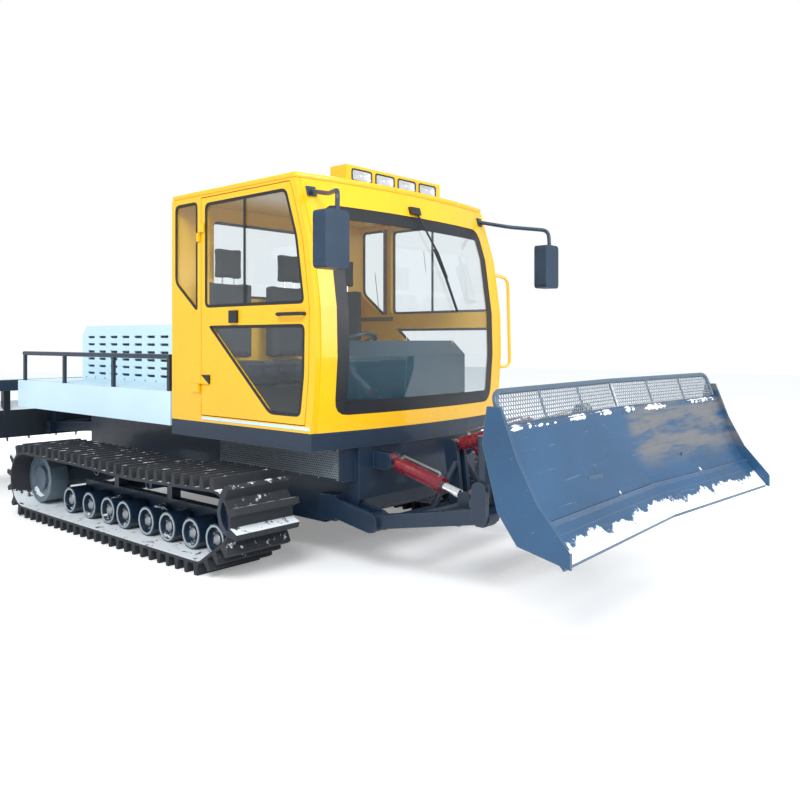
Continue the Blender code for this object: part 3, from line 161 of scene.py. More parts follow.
# %% Helpers for node trees
def add_node(tree, kind, settings=(), **sockets):
    """A node with its settings made and its input values set; underscores stand for spaces."""
    made = tree.nodes.new(kind)
    for key, value in dict(settings).items():
        setattr(made, key, value)
    for key, value in sockets.items():
        target = made.inputs[key.replace("_", " ")]
        if isinstance(value, bpy.types.NodeSocket):
            tree.links.new(value, target)
        else:
            target.default_value = value
    return made


def math_node(tree, operation, first_value, second_value=0.5, clamp=False):
    made = tree.nodes.new("ShaderNodeMath")
    made.operation = operation
    made.use_clamp = clamp
    for socket, value in zip(made.inputs, (first_value, second_value)):
        if isinstance(value, bpy.types.NodeSocket):
            tree.links.new(value, socket)
        else:
            socket.default_value = value
    return made.outputs[0]


def ramp(tree, value, low, high):
    """0 up to low, 1 from high on, smooth between them."""
    made = tree.nodes.new("ShaderNodeMapRange")
    made.interpolation_type = "SMOOTHSTEP"
    for key, put in (("Value", value), ("From Min", low), ("From Max", high)):
        if isinstance(put, bpy.types.NodeSocket):
            tree.links.new(put, made.inputs[key])
        else:
            made.inputs[key].default_value = put
    return made.outputs["Result"]


def mix_colour(tree, factor, under, over, blend="MIX"):
    made = tree.nodes.new("ShaderNodeMix")
    made.data_type = "RGBA"
    made.blend_type = blend
    for socket, value in zip((made.inputs[0], made.inputs[6], made.inputs[7]), (factor, under, over)):
        if isinstance(value, bpy.types.NodeSocket):
            tree.links.new(value, socket)
        else:
            socket.default_value = value if isinstance(value, float) else (*value, 1)
    return made.outputs[2]


def noise(tree, place, scale, detail=4.0, roughness=0.55, stretch=None):
    """Blender's noise between about 0.25 and 0.75, stretched along an axis where asked."""
    if stretch:
        mapped = add_node(tree, "ShaderNodeMapping", Vector=place, Scale=stretch)
        place = mapped.outputs[0]
    made = add_node(tree, "ShaderNodeTexNoise", Vector=place, Detail=detail, Roughness=roughness)
    if isinstance(scale, bpy.types.NodeSocket):
        tree.links.new(scale, made.inputs["Scale"])
    else:
        made.inputs["Scale"].default_value = scale
    return made.outputs["Fac"]


def shader_group(name, inputs, outputs):
    """An empty node group; each socket is a name, a kind and, for inputs, its usual value."""
    tree = bpy.data.node_groups.new(name, "ShaderNodeTree")
    for label, kind, value in inputs:
        socket = tree.interface.new_socket(label, in_out="INPUT", socket_type=f"NodeSocket{kind}")
        if value is not None:
            socket.default_value = value
    for label, kind in outputs:
        tree.interface.new_socket(label, in_out="OUTPUT", socket_type=f"NodeSocket{kind}")
    return tree, tree.nodes.new("NodeGroupInput").outputs, tree.nodes.new("NodeGroupOutput").inputs


# %% [markdown]
# ### Sprayed paint
# Sprayed paint has a fine orange peel, which breaks up its gloss, and its colour drifts a little over a
# panel with sun, hands and cleaning. The group gives a colour, a roughness and a height for the bump.

# %% The sprayed paint group
def sprayed_paint_group():
    tree, given, made = shader_group(
        "sprayed_paint",
        (("Position", "Vector", None), ("Paint", "Color", (0.5, 0.5, 0.5, 1)), ("Drift", "Float", 0.12),
         ("Peel Scale", "Float", 260.0), ("Roughness", "Float", 0.35)),
        (("Color", "Color"), ("Roughness", "Float"), ("Height", "Float")))
    broad = noise(tree, given["Position"], 2.3, 3.0)
    fine = noise(tree, given["Position"], 31.0, 5.0, 0.7)
    blend = math_node(tree, "ADD", math_node(tree, "MULTIPLY", broad, 0.7),
                      math_node(tree, "MULTIPLY", fine, 0.3))
    lift = math_node(tree, "MULTIPLY", math_node(tree, "SUBTRACT", blend, 0.5), given["Drift"])
    bright = add_node(tree, "ShaderNodeHueSaturation", Color=given["Paint"],
                      Value=math_node(tree, "ADD", math_node(tree, "MULTIPLY", lift, 4.0), 1.0))
    tree.links.new(bright.outputs[0], made["Color"])
    haze = math_node(tree, "MULTIPLY", math_node(tree, "SUBTRACT", fine, 0.5), 0.35)
    tree.links.new(math_node(tree, "ADD", given["Roughness"], haze, True), made["Roughness"])
    tree.links.new(noise(tree, given["Position"], given["Peel Scale"], 2.0), made["Height"])
    return tree


# %% [markdown]
# ### Worn edges
# Paint goes first where hands, boots and stones meet an edge. The Bevel node looks sideways along the
# surface and turns its normal near an edge; where that normal leaves the true one, there is an edge. A
# noise breaks the line up, so that it chips instead of glowing evenly.

# %% The worn edge group
def worn_edge_group():
    tree, given, made = shader_group(
        "worn_edge",
        (("Position", "Vector", None), ("Under", "Color", (0.5, 0.5, 0.5, 1)),
         ("Bare", "Color", (0.2, 0.2, 0.2, 1)), ("Amount", "Float", 0.5), ("Chip Scale", "Float", 22.0)),
        (("Color", "Color"), ("Mask", "Float")))
    near = add_node(tree, "ShaderNodeBevel", {"samples": 4}, Radius=0.006)
    flat = tree.nodes.new("ShaderNodeNewGeometry")
    across = add_node(tree, "ShaderNodeVectorMath", {"operation": "DOT_PRODUCT"})
    tree.links.new(near.outputs[0], across.inputs[0])
    tree.links.new(flat.outputs["Normal"], across.inputs[1])
    edge = math_node(tree, "SUBTRACT", 1.0, across.outputs["Value"])
    chips = noise(tree, given["Position"], given["Chip Scale"], 6.0, 0.75)
    strength = math_node(tree, "MULTIPLY", edge, math_node(tree, "MULTIPLY", chips, given["Amount"]))
    mask = ramp(tree, strength, 0.04, 0.10)
    tree.links.new(mix_colour(tree, mask, given["Under"], given["Bare"]), made["Color"])
    tree.links.new(mask, made["Mask"])
    return tree


# %% [markdown]
# ### Caked snow
# Snow sticks where it is thrown and where it can lie: low on the machine, and on faces that look up. The
# group makes a mask from the surface's own normal and its height above the ground, eats into it with a
# noise, and whitens the colour below.

# %% The caked snow group
def caked_snow_group():
    tree, given, made = shader_group(
        "caked_snow",
        (("Position", "Vector", None), ("Normal", "Vector", None), ("Under", "Color", (0.5, 0.5, 0.5, 1)),
         ("Amount", "Float", 0.5), ("Full Height", "Float", 0.1), ("End Height", "Float", 0.8),
         ("Patch Scale", "Float", 9.0)),
        (("Color", "Color"), ("Mask", "Float")))
    height = add_node(tree, "ShaderNodeSeparateXYZ", Vector=given["Position"]).outputs["Z"]
    upward = add_node(tree, "ShaderNodeSeparateXYZ", Vector=given["Normal"]).outputs["Z"]
    low = math_node(tree, "SUBTRACT", 1.0, ramp(tree, height, given["Full Height"], given["End Height"]))
    lying = math_node(tree, "ADD", ramp(tree, upward, 0.2, 0.9), 0.55)
    patches = noise(tree, given["Position"], given["Patch Scale"], 8.0, 0.72)
    reach = math_node(tree, "MULTIPLY", math_node(tree, "MULTIPLY", low, lying), given["Amount"])
    edge = math_node(tree, "SUBTRACT", 0.86, math_node(tree, "MULTIPLY", reach, 0.45))
    mask = ramp(tree, patches, edge, math_node(tree, "ADD", edge, 0.05))
    tree.links.new(mix_colour(tree, mask, given["Under"], (0.80, 0.86, 0.90)), made["Color"])
    tree.links.new(mask, made["Mask"])
    return tree


SPRAYED = sprayed_paint_group()
WORN = worn_edge_group()
SNOWY = caked_snow_group()
print("groups:", [group.name for group in (SPRAYED, WORN, SNOWY)])

# %% [markdown]
# ## Finishes
# One function sprays every painted part: it chains the groups, feeds the shader and leaves plain values,
# such as the clear coat, on the shader's own sockets. Colours are written as linear light.

# %% The painted finish
def blank(name):
    """A new material with its tree, its shader and the place of each point on the piece."""
    made = bpy.data.materials.new(name)
    made.use_nodes = True
    tree = made.node_tree
    place = tree.nodes.new("ShaderNodeTexCoord").outputs
    return made, tree, tree.nodes["Principled BSDF"], place


def place_group(tree, group, **sockets):
    made = tree.nodes.new("ShaderNodeGroup")
    made.node_tree = group
    for key, value in sockets.items():
        target = made.inputs[key.replace("_", " ")]
        if isinstance(value, bpy.types.NodeSocket):
            tree.links.new(value, target)
        else:
            target.default_value = (*value, 1) if isinstance(value, tuple) and len(value) == 3 else value
    return made.outputs


def bump(tree, height, strength, distance):
    return add_node(tree, "ShaderNodeBump", Height=height, Strength=strength, Distance=distance).outputs[0]


def painted(name, paint, roughness, wear=0.4, bare=(0.12, 0.12, 0.13), snow=0.0, snow_heights=(0.1, 0.9),
            drift=0.12, coat=0.2, peel=260.0, patch=9.0):
    made, tree, shader, place = blank(name)
    coat_of = place_group(tree, SPRAYED, Position=place["Object"], Paint=paint, Drift=drift,
                          Peel_Scale=peel, Roughness=roughness)
    worn = place_group(tree, WORN, Position=place["Object"], Under=coat_of["Color"], Bare=bare, Amount=wear)
    rough = math_node(tree, "MAXIMUM", coat_of["Roughness"], math_node(tree, "MULTIPLY", worn["Mask"], 0.5))
    colour = worn["Color"]
    if snow:
        caked = place_group(tree, SNOWY, Position=place["Object"], Normal=place["Normal"], Under=colour,
                            Amount=snow, Full_Height=snow_heights[0], End_Height=snow_heights[1],
                            Patch_Scale=patch)
        colour = caked["Color"]
        rough = math_node(tree, "MAXIMUM", rough, math_node(tree, "MULTIPLY", caked["Mask"], 0.85))
    tree.links.new(colour, shader.inputs["Base Color"])
    tree.links.new(rough, shader.inputs["Roughness"])
    tree.links.new(bump(tree, coat_of["Height"], 0.05, 0.001), shader.inputs["Normal"])
    shader.inputs["Coat Weight"].default_value = coat
    shader.inputs["Coat Roughness"].default_value = 0.12
    return made


YELLOW = painted("yellow_paint", (0.90, 0.49, 0.004), 0.32, wear=0.25, bare=(0.35, 0.20, 0.02), drift=0.05,
                 coat=0.35)
NAVY = painted("navy_paint", (0.006, 0.020, 0.045), 0.45, wear=0.7, bare=(0.10, 0.13, 0.16), snow=0.5,
               snow_heights=(0.1, 0.75))
PALE = painted("pale_paint", (0.60, 0.80, 0.91), 0.40, wear=0.3, bare=(0.20, 0.22, 0.24), drift=0.05)
RED = painted("cylinder_red", (0.17, 0.004, 0.018), 0.28, wear=0.4, bare=(0.05, 0.03, 0.03), coat=0.5)
GREY = painted("wheel_grey", (0.10, 0.14, 0.18), 0.45, wear=0.6, bare=(0.25, 0.27, 0.30), snow=0.8,
               snow_heights=(0.05, 0.6))
TOOL_DARK = painted("tool_dark", (0.012, 0.018, 0.026), 0.5, wear=0.7, snow=0.9, snow_heights=(0.4, 1.4),
                    patch=6.0)
GUARD_STEEL = painted("guard_paint", (0.045, 0.070, 0.105), 0.45, wear=0.9, bare=(0.40, 0.45, 0.50), snow=0.9,
                      snow_heights=(0.55, 0.80), patch=14.0)
RIM_LIGHT = painted("rim_light", (0.32, 0.38, 0.42), 0.40, wear=0.8, bare=(0.10, 0.12, 0.14), snow=0.4,
                    snow_heights=(0.05, 0.6))
LINING = painted("cab_lining", (0.20, 0.13, 0.06), 0.6, wear=0.2, coat=0.0)
BLADE_RAIL = painted("blade_rail", (0.06, 0.10, 0.15), 0.4, wear=0.6, bare=(0.40, 0.43, 0.46), snow=0.3,
                     snow_heights=(1.0, 1.3))
print("painted finishes ready")


# %% [markdown]
# ### The blade's finish
# The mouldboard tells the machine's story: blue paint, polished and scratched by snow, and snow packed
# along its foot and under its top edge. A painted sheen lightens the upper part of its left half in grey
# streaks.

# %% Blade paint
def blade_finish():
    made, tree, shader, place = blank("blade_blue")
    coat_of = place_group(tree, SPRAYED, Position=place["Object"], Paint=(0.012, 0.065, 0.15), Drift=0.25,
                          Peel_Scale=180.0, Roughness=0.42)
    spot = add_node(tree, "ShaderNodeSeparateXYZ", Vector=place["Object"]).outputs
    streaks = noise(tree, place["Object"], 5.0, 6.0, 0.7, stretch=(1.0, 0.35, 3.0))
    # painted sheen: the upper left half is lightened to grey in streaks, for the light that half reflects
    painted_sheen_area = math_node(tree, "MULTIPLY", ramp(tree, spot["Y"], -0.05, 0.12),
                          ramp(tree, spot["Z"], 0.66, 0.80))
    painted_sheen = math_node(tree, "MULTIPLY", painted_sheen_area, ramp(tree, streaks, 0.36, 0.60))
    colour = mix_colour(tree, math_node(tree, "MULTIPLY", painted_sheen, 0.80), coat_of["Color"], (0.16, 0.15, 0.14))
    scratches = ramp(tree, noise(tree, place["Object"], 26.0, 3.0, 0.9, stretch=(1.0, 0.06, 2.2)), 0.66, 0.70)
    colour = mix_colour(tree, math_node(tree, "MULTIPLY", scratches, 0.5), colour, (0.22, 0.27, 0.32))
    worn = place_group(tree, WORN, Position=place["Object"], Under=colour, Bare=(0.16, 0.17, 0.18),
                       Amount=0.9)
    caked = place_group(tree, SNOWY, Position=place["Object"], Normal=place["Normal"], Under=worn["Color"],
                        Amount=0.9, Full_Height=0.50, End_Height=0.64, Patch_Scale=6.0)
    tree.links.new(caked["Color"], shader.inputs["Base Color"])
    rough = math_node(tree, "MAXIMUM", coat_of["Roughness"], math_node(tree, "MULTIPLY", caked["Mask"], 0.9))
    tree.links.new(rough, shader.inputs["Roughness"])
    tree.links.new(bump(tree, streaks, 0.25, 0.004), shader.inputs["Normal"])
    shader.inputs["Coat Weight"].default_value = 0.15
    return made


BLADE_BLUE = blade_finish()


# %% [markdown]
# ### Metal, rubber and plastic
# Bare metal is brushed by use, so its noise is stretched along the stroke. Rubber is grey with age and
# carries frost low down and where it faces up. Moulded plastic has a fine leathery grain that only its
# highlights show.

# %% Metal, rubber and plastic finishes
def metal(name, colour, roughness, stretch, snow=0.0):
    made, tree, shader, place = blank(name)
    lines = noise(tree, place["Object"], 60.0, 5.0, 0.7, stretch=stretch)
    tree.links.new(math_node(tree, "ADD", math_node(tree, "MULTIPLY", lines, 0.25), roughness - 0.12, True),
                   shader.inputs["Roughness"])
    shade = mix_colour(tree, lines, tuple(c * 0.8 for c in colour), tuple(min(1.0, c * 1.15) for c in colour))
    if snow:
        caked = place_group(tree, SNOWY, Position=place["Object"], Normal=place["Normal"], Under=shade,
                            Amount=snow, Full_Height=0.1, End_Height=0.9)
        shade = caked["Color"]
        tree.links.new(math_node(tree, "SUBTRACT", 1.0, caked["Mask"]), shader.inputs["Metallic"])
    else:
        shader.inputs["Metallic"].default_value = 1.0
    tree.links.new(shade, shader.inputs["Base Color"])
    tree.links.new(bump(tree, lines, 0.05, 0.0005), shader.inputs["Normal"])
    return made


def grained(name, colour, roughness, grain=420.0, depth=0.15, snow=0.0, snow_heights=(0.05, 0.7), patch=9.0):
    """Rubber or moulded plastic: a cell grain, a dusty drift of tone and snow where asked."""
    made, tree, shader, place = blank(name)
    cells = add_node(tree, "ShaderNodeTexVoronoi", Vector=place["Object"], Scale=grain).outputs["Distance"]
    dust = noise(tree, place["Object"], 8.0, 6.0, 0.65)
    dusty = tuple(min(1.0, c * 1.5 + 0.004) for c in colour)
    shade = mix_colour(tree, dust, tuple(c * 0.7 for c in colour), dusty)
    rough = math_node(tree, "ADD", math_node(tree, "MULTIPLY", dust, 0.3), roughness - 0.15, True)
    if snow:
        caked = place_group(tree, SNOWY, Position=place["Object"], Normal=place["Normal"], Under=shade,
                            Amount=snow, Full_Height=snow_heights[0], End_Height=snow_heights[1],
                            Patch_Scale=patch)
        shade = caked["Color"]
        rough = math_node(tree, "MAXIMUM", rough, math_node(tree, "MULTIPLY", caked["Mask"], 0.9))
    tree.links.new(shade, shader.inputs["Base Color"])
    tree.links.new(rough, shader.inputs["Roughness"])
    tree.links.new(bump(tree, cells, depth, 0.0004), shader.inputs["Normal"])
    return made


LAMP_BULB = metal("lamp_bulb", (0.95, 0.93, 0.85), 0.30, (1.0, 1.0, 1.0))
CHROME = metal("rod_chrome", (0.80, 0.82, 0.84), 0.16, (1.0, 1.0, 1.0))
STEEL = metal("bare_steel", (0.36, 0.38, 0.40), 0.42, (1.0, 0.1, 1.0), snow=0.5)
TRACK_RUBBER = grained("track_rubber", (0.018, 0.022, 0.028), 0.75, 160.0, 0.4, snow=0.7,
                       snow_heights=(0.2, 1.1), patch=16.0)
BLACK = grained("black_plastic", (0.010, 0.013, 0.018), 0.50)
# the seal's near-black is also the painted shade on the hull's side plates behind the guards
SEAL_AND_SHADE = grained("seal_rubber", (0.006, 0.008, 0.012), 0.45, 600.0, 0.1)
SEAT_CLOTH = grained("seat_cloth", (0.012, 0.022, 0.034), 0.80, 700.0, 0.5)
SNOW = grained("packed_snow", (0.62, 0.68, 0.72), 0.85, 90.0, 0.8)
MIRROR_SHELL = grained("mirror_shell", (0.010, 0.030, 0.060), 0.42)
DESK = grained("desk_plastic", (0.006, 0.032, 0.050), 0.45, 300.0, 0.25)
print("metal, rubber and plastic ready")


# %% [markdown]
# ### Glass
# A pane bends light, and a renderer's shadow rays don't bend, so glass would leave the cab dark. The light
# path trick lets those rays pass straight through, while the eye still sees real glass.

# %% Glass
def glass(name, tint):
    made, tree, shader, place = blank(name)
    shader.inputs["Base Color"].default_value = (*tint, 1)
    shader.inputs["Transmission Weight"].default_value = 1.0
    shader.inputs["IOR"].default_value = 1.45
    smears = noise(tree, place["Object"], 14.0, 6.0, 0.7)
    haze = math_node(tree, "MULTIPLY", ramp(tree, smears, 0.45, 0.85), 0.03)
    tree.links.new(haze, shader.inputs["Roughness"])
    clear = add_node(tree, "ShaderNodeBsdfTransparent", Color=(*tint, 1))
    path = tree.nodes.new("ShaderNodeLightPath")
    choose = tree.nodes.new("ShaderNodeMixShader")
    tree.links.new(path.outputs["Is Shadow Ray"], choose.inputs[0])
    tree.links.new(shader.outputs[0], choose.inputs[1])
    tree.links.new(clear.outputs[0], choose.inputs[2])
    tree.links.new(choose.outputs[0], tree.nodes["Material Output"].inputs["Surface"])
    return made


PANE = glass("cab_glass", (0.90, 0.94, 0.96))
LENS = glass("lamp_lens", (0.97, 0.98, 1.0))

# %% [markdown]
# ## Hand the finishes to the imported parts
# The names of the parts say what they are, so a short table of name endings is enough.

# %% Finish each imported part
# start of the part's name, its finish
FINISHES = (
    ("cab_floor", NAVY), ("cab_", YELLOW), ("door_upper_glass", PANE), ("door_lower_glass", PANE),
    ("door_", YELLOW), ("quarter_window", PANE), ("rear_window", PANE), ("windscreen", PANE),
    ("chassis_hull", NAVY), ("push_frame", NAVY), ("blade_carrier", NAVY), ("blade", BLADE_BLUE),
    ("rear_frame", NAVY), ("bed_rail", NAVY), ("mirror", MIRROR_SHELL), ("load_bed", PALE),
    ("engine_hood", PALE), ("tiller_hood", TOOL_DARK), ("engine_block", STEEL), ("tiller_rotor", STEEL),
    ("track_frame", NAVY), ("track_", TRACK_RUBBER), ("sprocket", GREY), ("roof_lamps", YELLOW),
    ("wiper", BLACK), ("tiller_comb", BLACK), ("seats", BLACK), ("console", DESK),
)


def finish_of(name):
    if name.endswith("_barrel"):
        return RED
    if name.endswith("_rod"):
        return CHROME
    return next(finish for start, finish in FINISHES if name.startswith(start))


for name, part in parts.items():
    part.data.materials.clear()
    part.data.materials.append(finish_of(name))
print("finished", len(parts), "packed parts")

# %% [markdown]
# ## Tools for small pieces
# The maker's small parts are turned, bent, folded or cut from sheet. A few helpers draw those shapes into
# one mesh, and two more turn the mesh into a piece that rides on its body.

# %% Shape helpers
SHARP_EDGE = math.radians(35)
MERGE = 1e-5


def add_sections(shape, sections, closed=False):
    """Skin closed sections with equal counts; the ends are capped, or joined to each other."""
    rings = [[shape.verts.new(point) for point in section] for section in sections]
    if closed:
        rings.append(rings[0])
    else:
        shape.faces.new(rings[0])
        shape.faces.new(list(reversed(rings[-1])))
    for one, two in zip(rings, rings[1:]):
        for i in range(len(one)):
            j = (i + 1) % len(one)
            shape.faces.new((one[i], two[i], two[j], one[j]))


def add_box(shape, low, high):
    corners = [(low[0], low[1]), (high[0], low[1]), (high[0], high[1]), (low[0], high[1])]
    add_sections(shape, [[(x, y, z) for x, y in corners] for z in (low[2], high[2])])


def add_turned(shape, profile, centre, axis, sides=24):
    """A profile of radius and distance along the axis, turned once round it."""
    turn = Vector((0, 0, 1)).rotation_difference(Vector(axis)).to_matrix()
    rings = []
    for i in range(sides):
        angle = 2 * math.pi * i / sides
        way = Vector((math.cos(angle), math.sin(angle), 0))
        rings.append([Vector(centre) + turn @ (way * radius + Vector((0, 0, along)))
                      for radius, along in profile])
    add_sections(shape, rings, closed=True)


def add_tube(shape, points, radius, sides=10):
    points = [Vector(point) for point in points]
    runs = [(b - a).normalized() for a, b in zip(points, points[1:])]
    side = runs[0].orthogonal().normalized()
    sections = []
    for i, point in enumerate(points):
        tangent = (runs[max(i - 1, 0)] + runs[min(i, len(runs) - 1)]).normalized()
        side = (side - tangent * side.dot(tangent)).normalized()
        up = tangent.cross(side)
        turns = [2 * math.pi * k / sides for k in range(sides)]
        sections.append([point + radius * (math.cos(t) * side + math.sin(t) * up) for t in turns])
    add_sections(shape, sections)


def bend(points, radius, steps=5):
    """The same route with each corner rounded."""
    points = [Vector(point) for point in points]
    route = [points[0]]
    for before, corner, after in zip(points, points[1:], points[2:]):
        start = corner + (before - corner).normalized() * radius
        end = corner + (after - corner).normalized() * radius
        for k in range(steps + 1):
            t = k / steps
            route.append((1 - t) ** 2 * start + 2 * t * (1 - t) * corner + t ** 2 * end)
    return route + [points[-1]]


def round_box(half_a, half_b, radius, steps=5):
    """A rectangle with round corners, round the origin."""
    outline = []
    for corner, (sign_a, sign_b) in enumerate(((1, 1), (-1, 1), (-1, -1), (1, -1))):
        for k in range(steps + 1):
            angle = math.pi / 2 * (corner + k / steps)
            outline.append((sign_a * (half_a - radius) + radius * math.cos(angle),
                            sign_b * (half_b - radius) + radius * math.sin(angle)))
    return outline


def piece(name, shape, finish, body, bevel=0.0):
    """Close the mesh, smooth it and let it ride on its body."""
    bmesh.ops.remove_doubles(shape, verts=shape.verts, dist=MERGE)
    bmesh.ops.dissolve_degenerate(shape, edges=shape.edges, dist=MERGE)
    bmesh.ops.recalc_face_normals(shape, faces=shape.faces)
    mesh = bpy.data.meshes.new(name)
    shape.to_mesh(mesh)
    shape.free()
    return settle(name, mesh, finish, body, bevel)


def settle(name, mesh, finish, body, bevel=0.0):
    mesh.materials.clear()
    mesh.materials.append(finish)
    mesh.shade_smooth()
    mesh.set_sharp_from_angle(angle=SHARP_EDGE)
    made = bpy.data.objects.new(name, mesh)
    bpy.context.scene.collection.objects.link(made)
    if bevel:
        edges = made.modifiers.new("edges", "BEVEL")
        edges.width = bevel
        edges.segments = 2
        edges.limit_method = "ANGLE"
    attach(made, body)
    return made


def repaint(node, finish, test):
    """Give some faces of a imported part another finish."""
    mesh = parts[node].data
    mesh.materials.append(finish)
    picked = [face for face in mesh.polygons if test(face.center, face.normal)]
    for face in picked:
        face.material_index = len(mesh.materials) - 1
    return len(picked)


SIDES = (("right", -1), ("left", 1))
print("shape helpers ready")

# %% [markdown]
# ## Patterns by Geometry Nodes
# Slots, perforations and bolts repeat on a pitch. One tree sets a shape on a grid, where every second row
# may be shifted for a honeycomb, and another sets it along a path. Both end in Realize Instances and Set
# Material. The result becomes a plain mesh, and the modifier goes.

# %% Pattern trees
def pattern_tree(name, inputs):
    tree = bpy.data.node_groups.new(name, "GeometryNodeTree")
    tree.is_modifier = True
    for label, kind in (("Geometry", "Geometry"),) + inputs:
        tree.interface.new_socket(label, in_out="INPUT", socket_type=f"NodeSocket{kind}")
    tree.interface.new_socket("Geometry", in_out="OUTPUT", socket_type="NodeSocketGeometry")
    return tree, tree.nodes.new("NodeGroupInput").outputs, tree.nodes.new("NodeGroupOutput").inputs


def set_on_points(tree, given, made, points):
    shape = tree.nodes.new("GeometryNodeObjectInfo")
    tree.links.new(given["Shape"], shape.inputs["Object"])
    copies = add_node(tree, "GeometryNodeInstanceOnPoints", Points=points, Instance=shape.outputs["Geometry"])
    real = add_node(tree, "GeometryNodeRealizeInstances", Geometry=copies.outputs[0])
    finished = add_node(tree, "GeometryNodeSetMaterial", Geometry=real.outputs[0], Material=given["Finish"])
    tree.links.new(finished.outputs[0], made["Geometry"])


def grid_tree():
    tree, given, made = pattern_tree("grid_pattern", (
        ("Shape", "Object"), ("Columns", "Int"), ("Rows", "Int"), ("Pitch", "Float"), ("Row Pitch", "Float"),
        ("Stagger", "Float"), ("Finish", "Material")))
    width = math_node(tree, "MULTIPLY", math_node(tree, "SUBTRACT", given["Columns"], 1.0), given["Pitch"])
    height = math_node(tree, "MULTIPLY", math_node(tree, "SUBTRACT", given["Rows"], 1.0), given["Row Pitch"])
    grid = add_node(tree, "GeometryNodeMeshGrid", Size_X=width, Size_Y=height, Vertices_X=given["Columns"],
                    Vertices_Y=given["Rows"])
    index = tree.nodes.new("GeometryNodeInputIndex").outputs[0]
    row = math_node(tree, "MODULO", index, given["Rows"])
    shift = math_node(tree, "MULTIPLY", math_node(tree, "MODULO", row, 2.0), given["Stagger"])
    offset = add_node(tree, "ShaderNodeCombineXYZ", X=math_node(tree, "MULTIPLY", shift, given["Pitch"]))
    moved = add_node(tree, "GeometryNodeSetPosition", Geometry=grid.outputs["Mesh"], Offset=offset.outputs[0])
    set_on_points(tree, given, made, moved.outputs[0])
    return tree


def path_tree():
    tree, given, made = pattern_tree("path_pattern", (
        ("Shape", "Object"), ("Path", "Object"), ("Count", "Int"), ("Finish", "Material")))
    path = tree.nodes.new("GeometryNodeObjectInfo")
    tree.links.new(given["Path"], path.inputs["Object"])
    points = add_node(tree, "GeometryNodeCurveToPoints", Curve=path.outputs["Geometry"], Count=given["Count"])
    set_on_points(tree, given, made, points.outputs["Points"])
    return tree


GRID = grid_tree()
PATH = path_tree()


def helper_object(name, shape):
    """A shape or a path that a tree reads, removed once the pattern is made."""
    if isinstance(shape, bmesh.types.BMesh):
        bmesh.ops.recalc_face_normals(shape, faces=shape.faces)
        data = bpy.data.meshes.new(name)
        shape.to_mesh(data)
        shape.free()
    else:
        data = bpy.data.curves.new(name, "CURVE")
        data.dimensions = "3D"
        spline = data.splines.new("POLY")
        spline.points.add(len(shape) - 1)
        for point, place in zip(spline.points, shape):
            point.co = (*place, 1)
    made = bpy.data.objects.new(name, data)
    bpy.context.scene.collection.objects.link(made)
    return made


def grown(name, tree, place=None, **values):
    """The pattern's mesh as a plain one, moved into place."""
    host = bpy.data.objects.new(name, bpy.data.meshes.new(name))
    bpy.context.scene.collection.objects.link(host)
    pattern = host.modifiers.new(name, "NODES")
    pattern.node_group = tree
    for item in tree.interface.items_tree:
        key = item.name.replace(" ", "_")
        if item.in_out == "INPUT" and key in values:
            pattern[item.identifier] = values[key]
    depsgraph = bpy.context.evaluated_depsgraph_get()
    mesh = bpy.data.meshes.new_from_object(host.evaluated_get(depsgraph))
    if place:
        mesh.transform(place)
    for helper in [host] + [value for value in values.values() if isinstance(value, bpy.types.Object)]:
        bpy.data.objects.remove(helper, do_unlink=True)
    return mesh


def facing(middle, across, up):
    """Places a pattern's own X and Y along two directions round a middle."""
    across, up = Vector(across).normalized(), Vector(up).normalized()
    return Matrix.Translation(middle) @ Matrix((across, up, across.cross(up))).transposed().to_4x4()


def joined(meshes):
    shape = bmesh.new()
    for mesh in meshes:
        shape.from_mesh(mesh)
        bpy.data.meshes.remove(mesh)
    mesh = bpy.data.meshes.new("joined")
    shape.to_mesh(mesh)
    shape.free()
    return mesh


print("pattern trees:", GRID.name, PATH.name)

# %% [markdown]
# ## Window seals
# Every pane sits in a black rubber profile, and the windscreen's edge is printed black where it is glued.
# The outline is read off the pane itself, so the rubber follows it exactly.

# %% Seals and the windscreen's black border
SEAL_WIDTH = 0.020
SEAL_LIFT = 0.0002  # clear of the pane
SEAL_RISE = 0.0075
SEAL_EDGE = 0.0015
FACES_OUT = 0.7  # how far a face has to look outwards to count as the pane's outer one
SHARPEST_CORNER = 0.3  # keeps a sharp corner from shooting far in
RAY_START_X = 6.0
BORDER_WIDTH = 0.085
BORDER_LIFT = 0.0018
BORDER_DEPTH = 0.0012


def rim_of(node, direction):
    """The outline of a pane's outer face, point by point."""
    shape = bmesh.new()
    shape.from_mesh(parts[node].data)
    bmesh.ops.remove_doubles(shape, verts=shape.verts, dist=MERGE)
    outer = {face for face in shape.faces if face.normal.dot(Vector(direction)) > FACES_OUT}
    edges = [edge for edge in shape.edges if sum(face in outer for face in edge.link_faces) == 1]
    near = {}
    for edge in edges:
        one, two = edge.verts
        near.setdefault(one, []).append(two)
        near.setdefault(two, []).append(one)
    start = next(iter(near))
    loop, before, here = [start.co.copy()], None, start
    while True:
        step = next((v for v in near[here] if v is not before), None)
        if step is None or step is start:
            break
        loop.append(step.co.copy())
        before, here = here, step
    shape.free()
    return loop


def inwards(loop, distance, direction):
    """The loop moved in by a distance, seen along a direction."""
    direction = Vector(direction)
    middle = sum(loop, Vector()) / len(loop)
    moved = []
    for i, point in enumerate(loop):
        before, after = loop[i - 1], loop[(i + 1) % len(loop)]
        one = (point - before).cross(direction).normalized()
        two = (after - point).cross(direction).normalized()
        way = one + two
        if way.dot(middle - point) < 0:
            way = -way
        moved.append(point + way * (2 * distance / max(way.length_squared, SHARPEST_CORNER)))
    return moved


def add_ring(shape, outer, inner, lift, rise, direction):
    """A flat band between two loops, standing off their surface."""
    direction = Vector(direction)
    rings = []
    for one, two in zip(outer, inner):
        rings.append([one + direction * lift, two + direction * lift, two + direction * rise,
                      one + direction * rise])
    add_sections(shape, rings, closed=True)


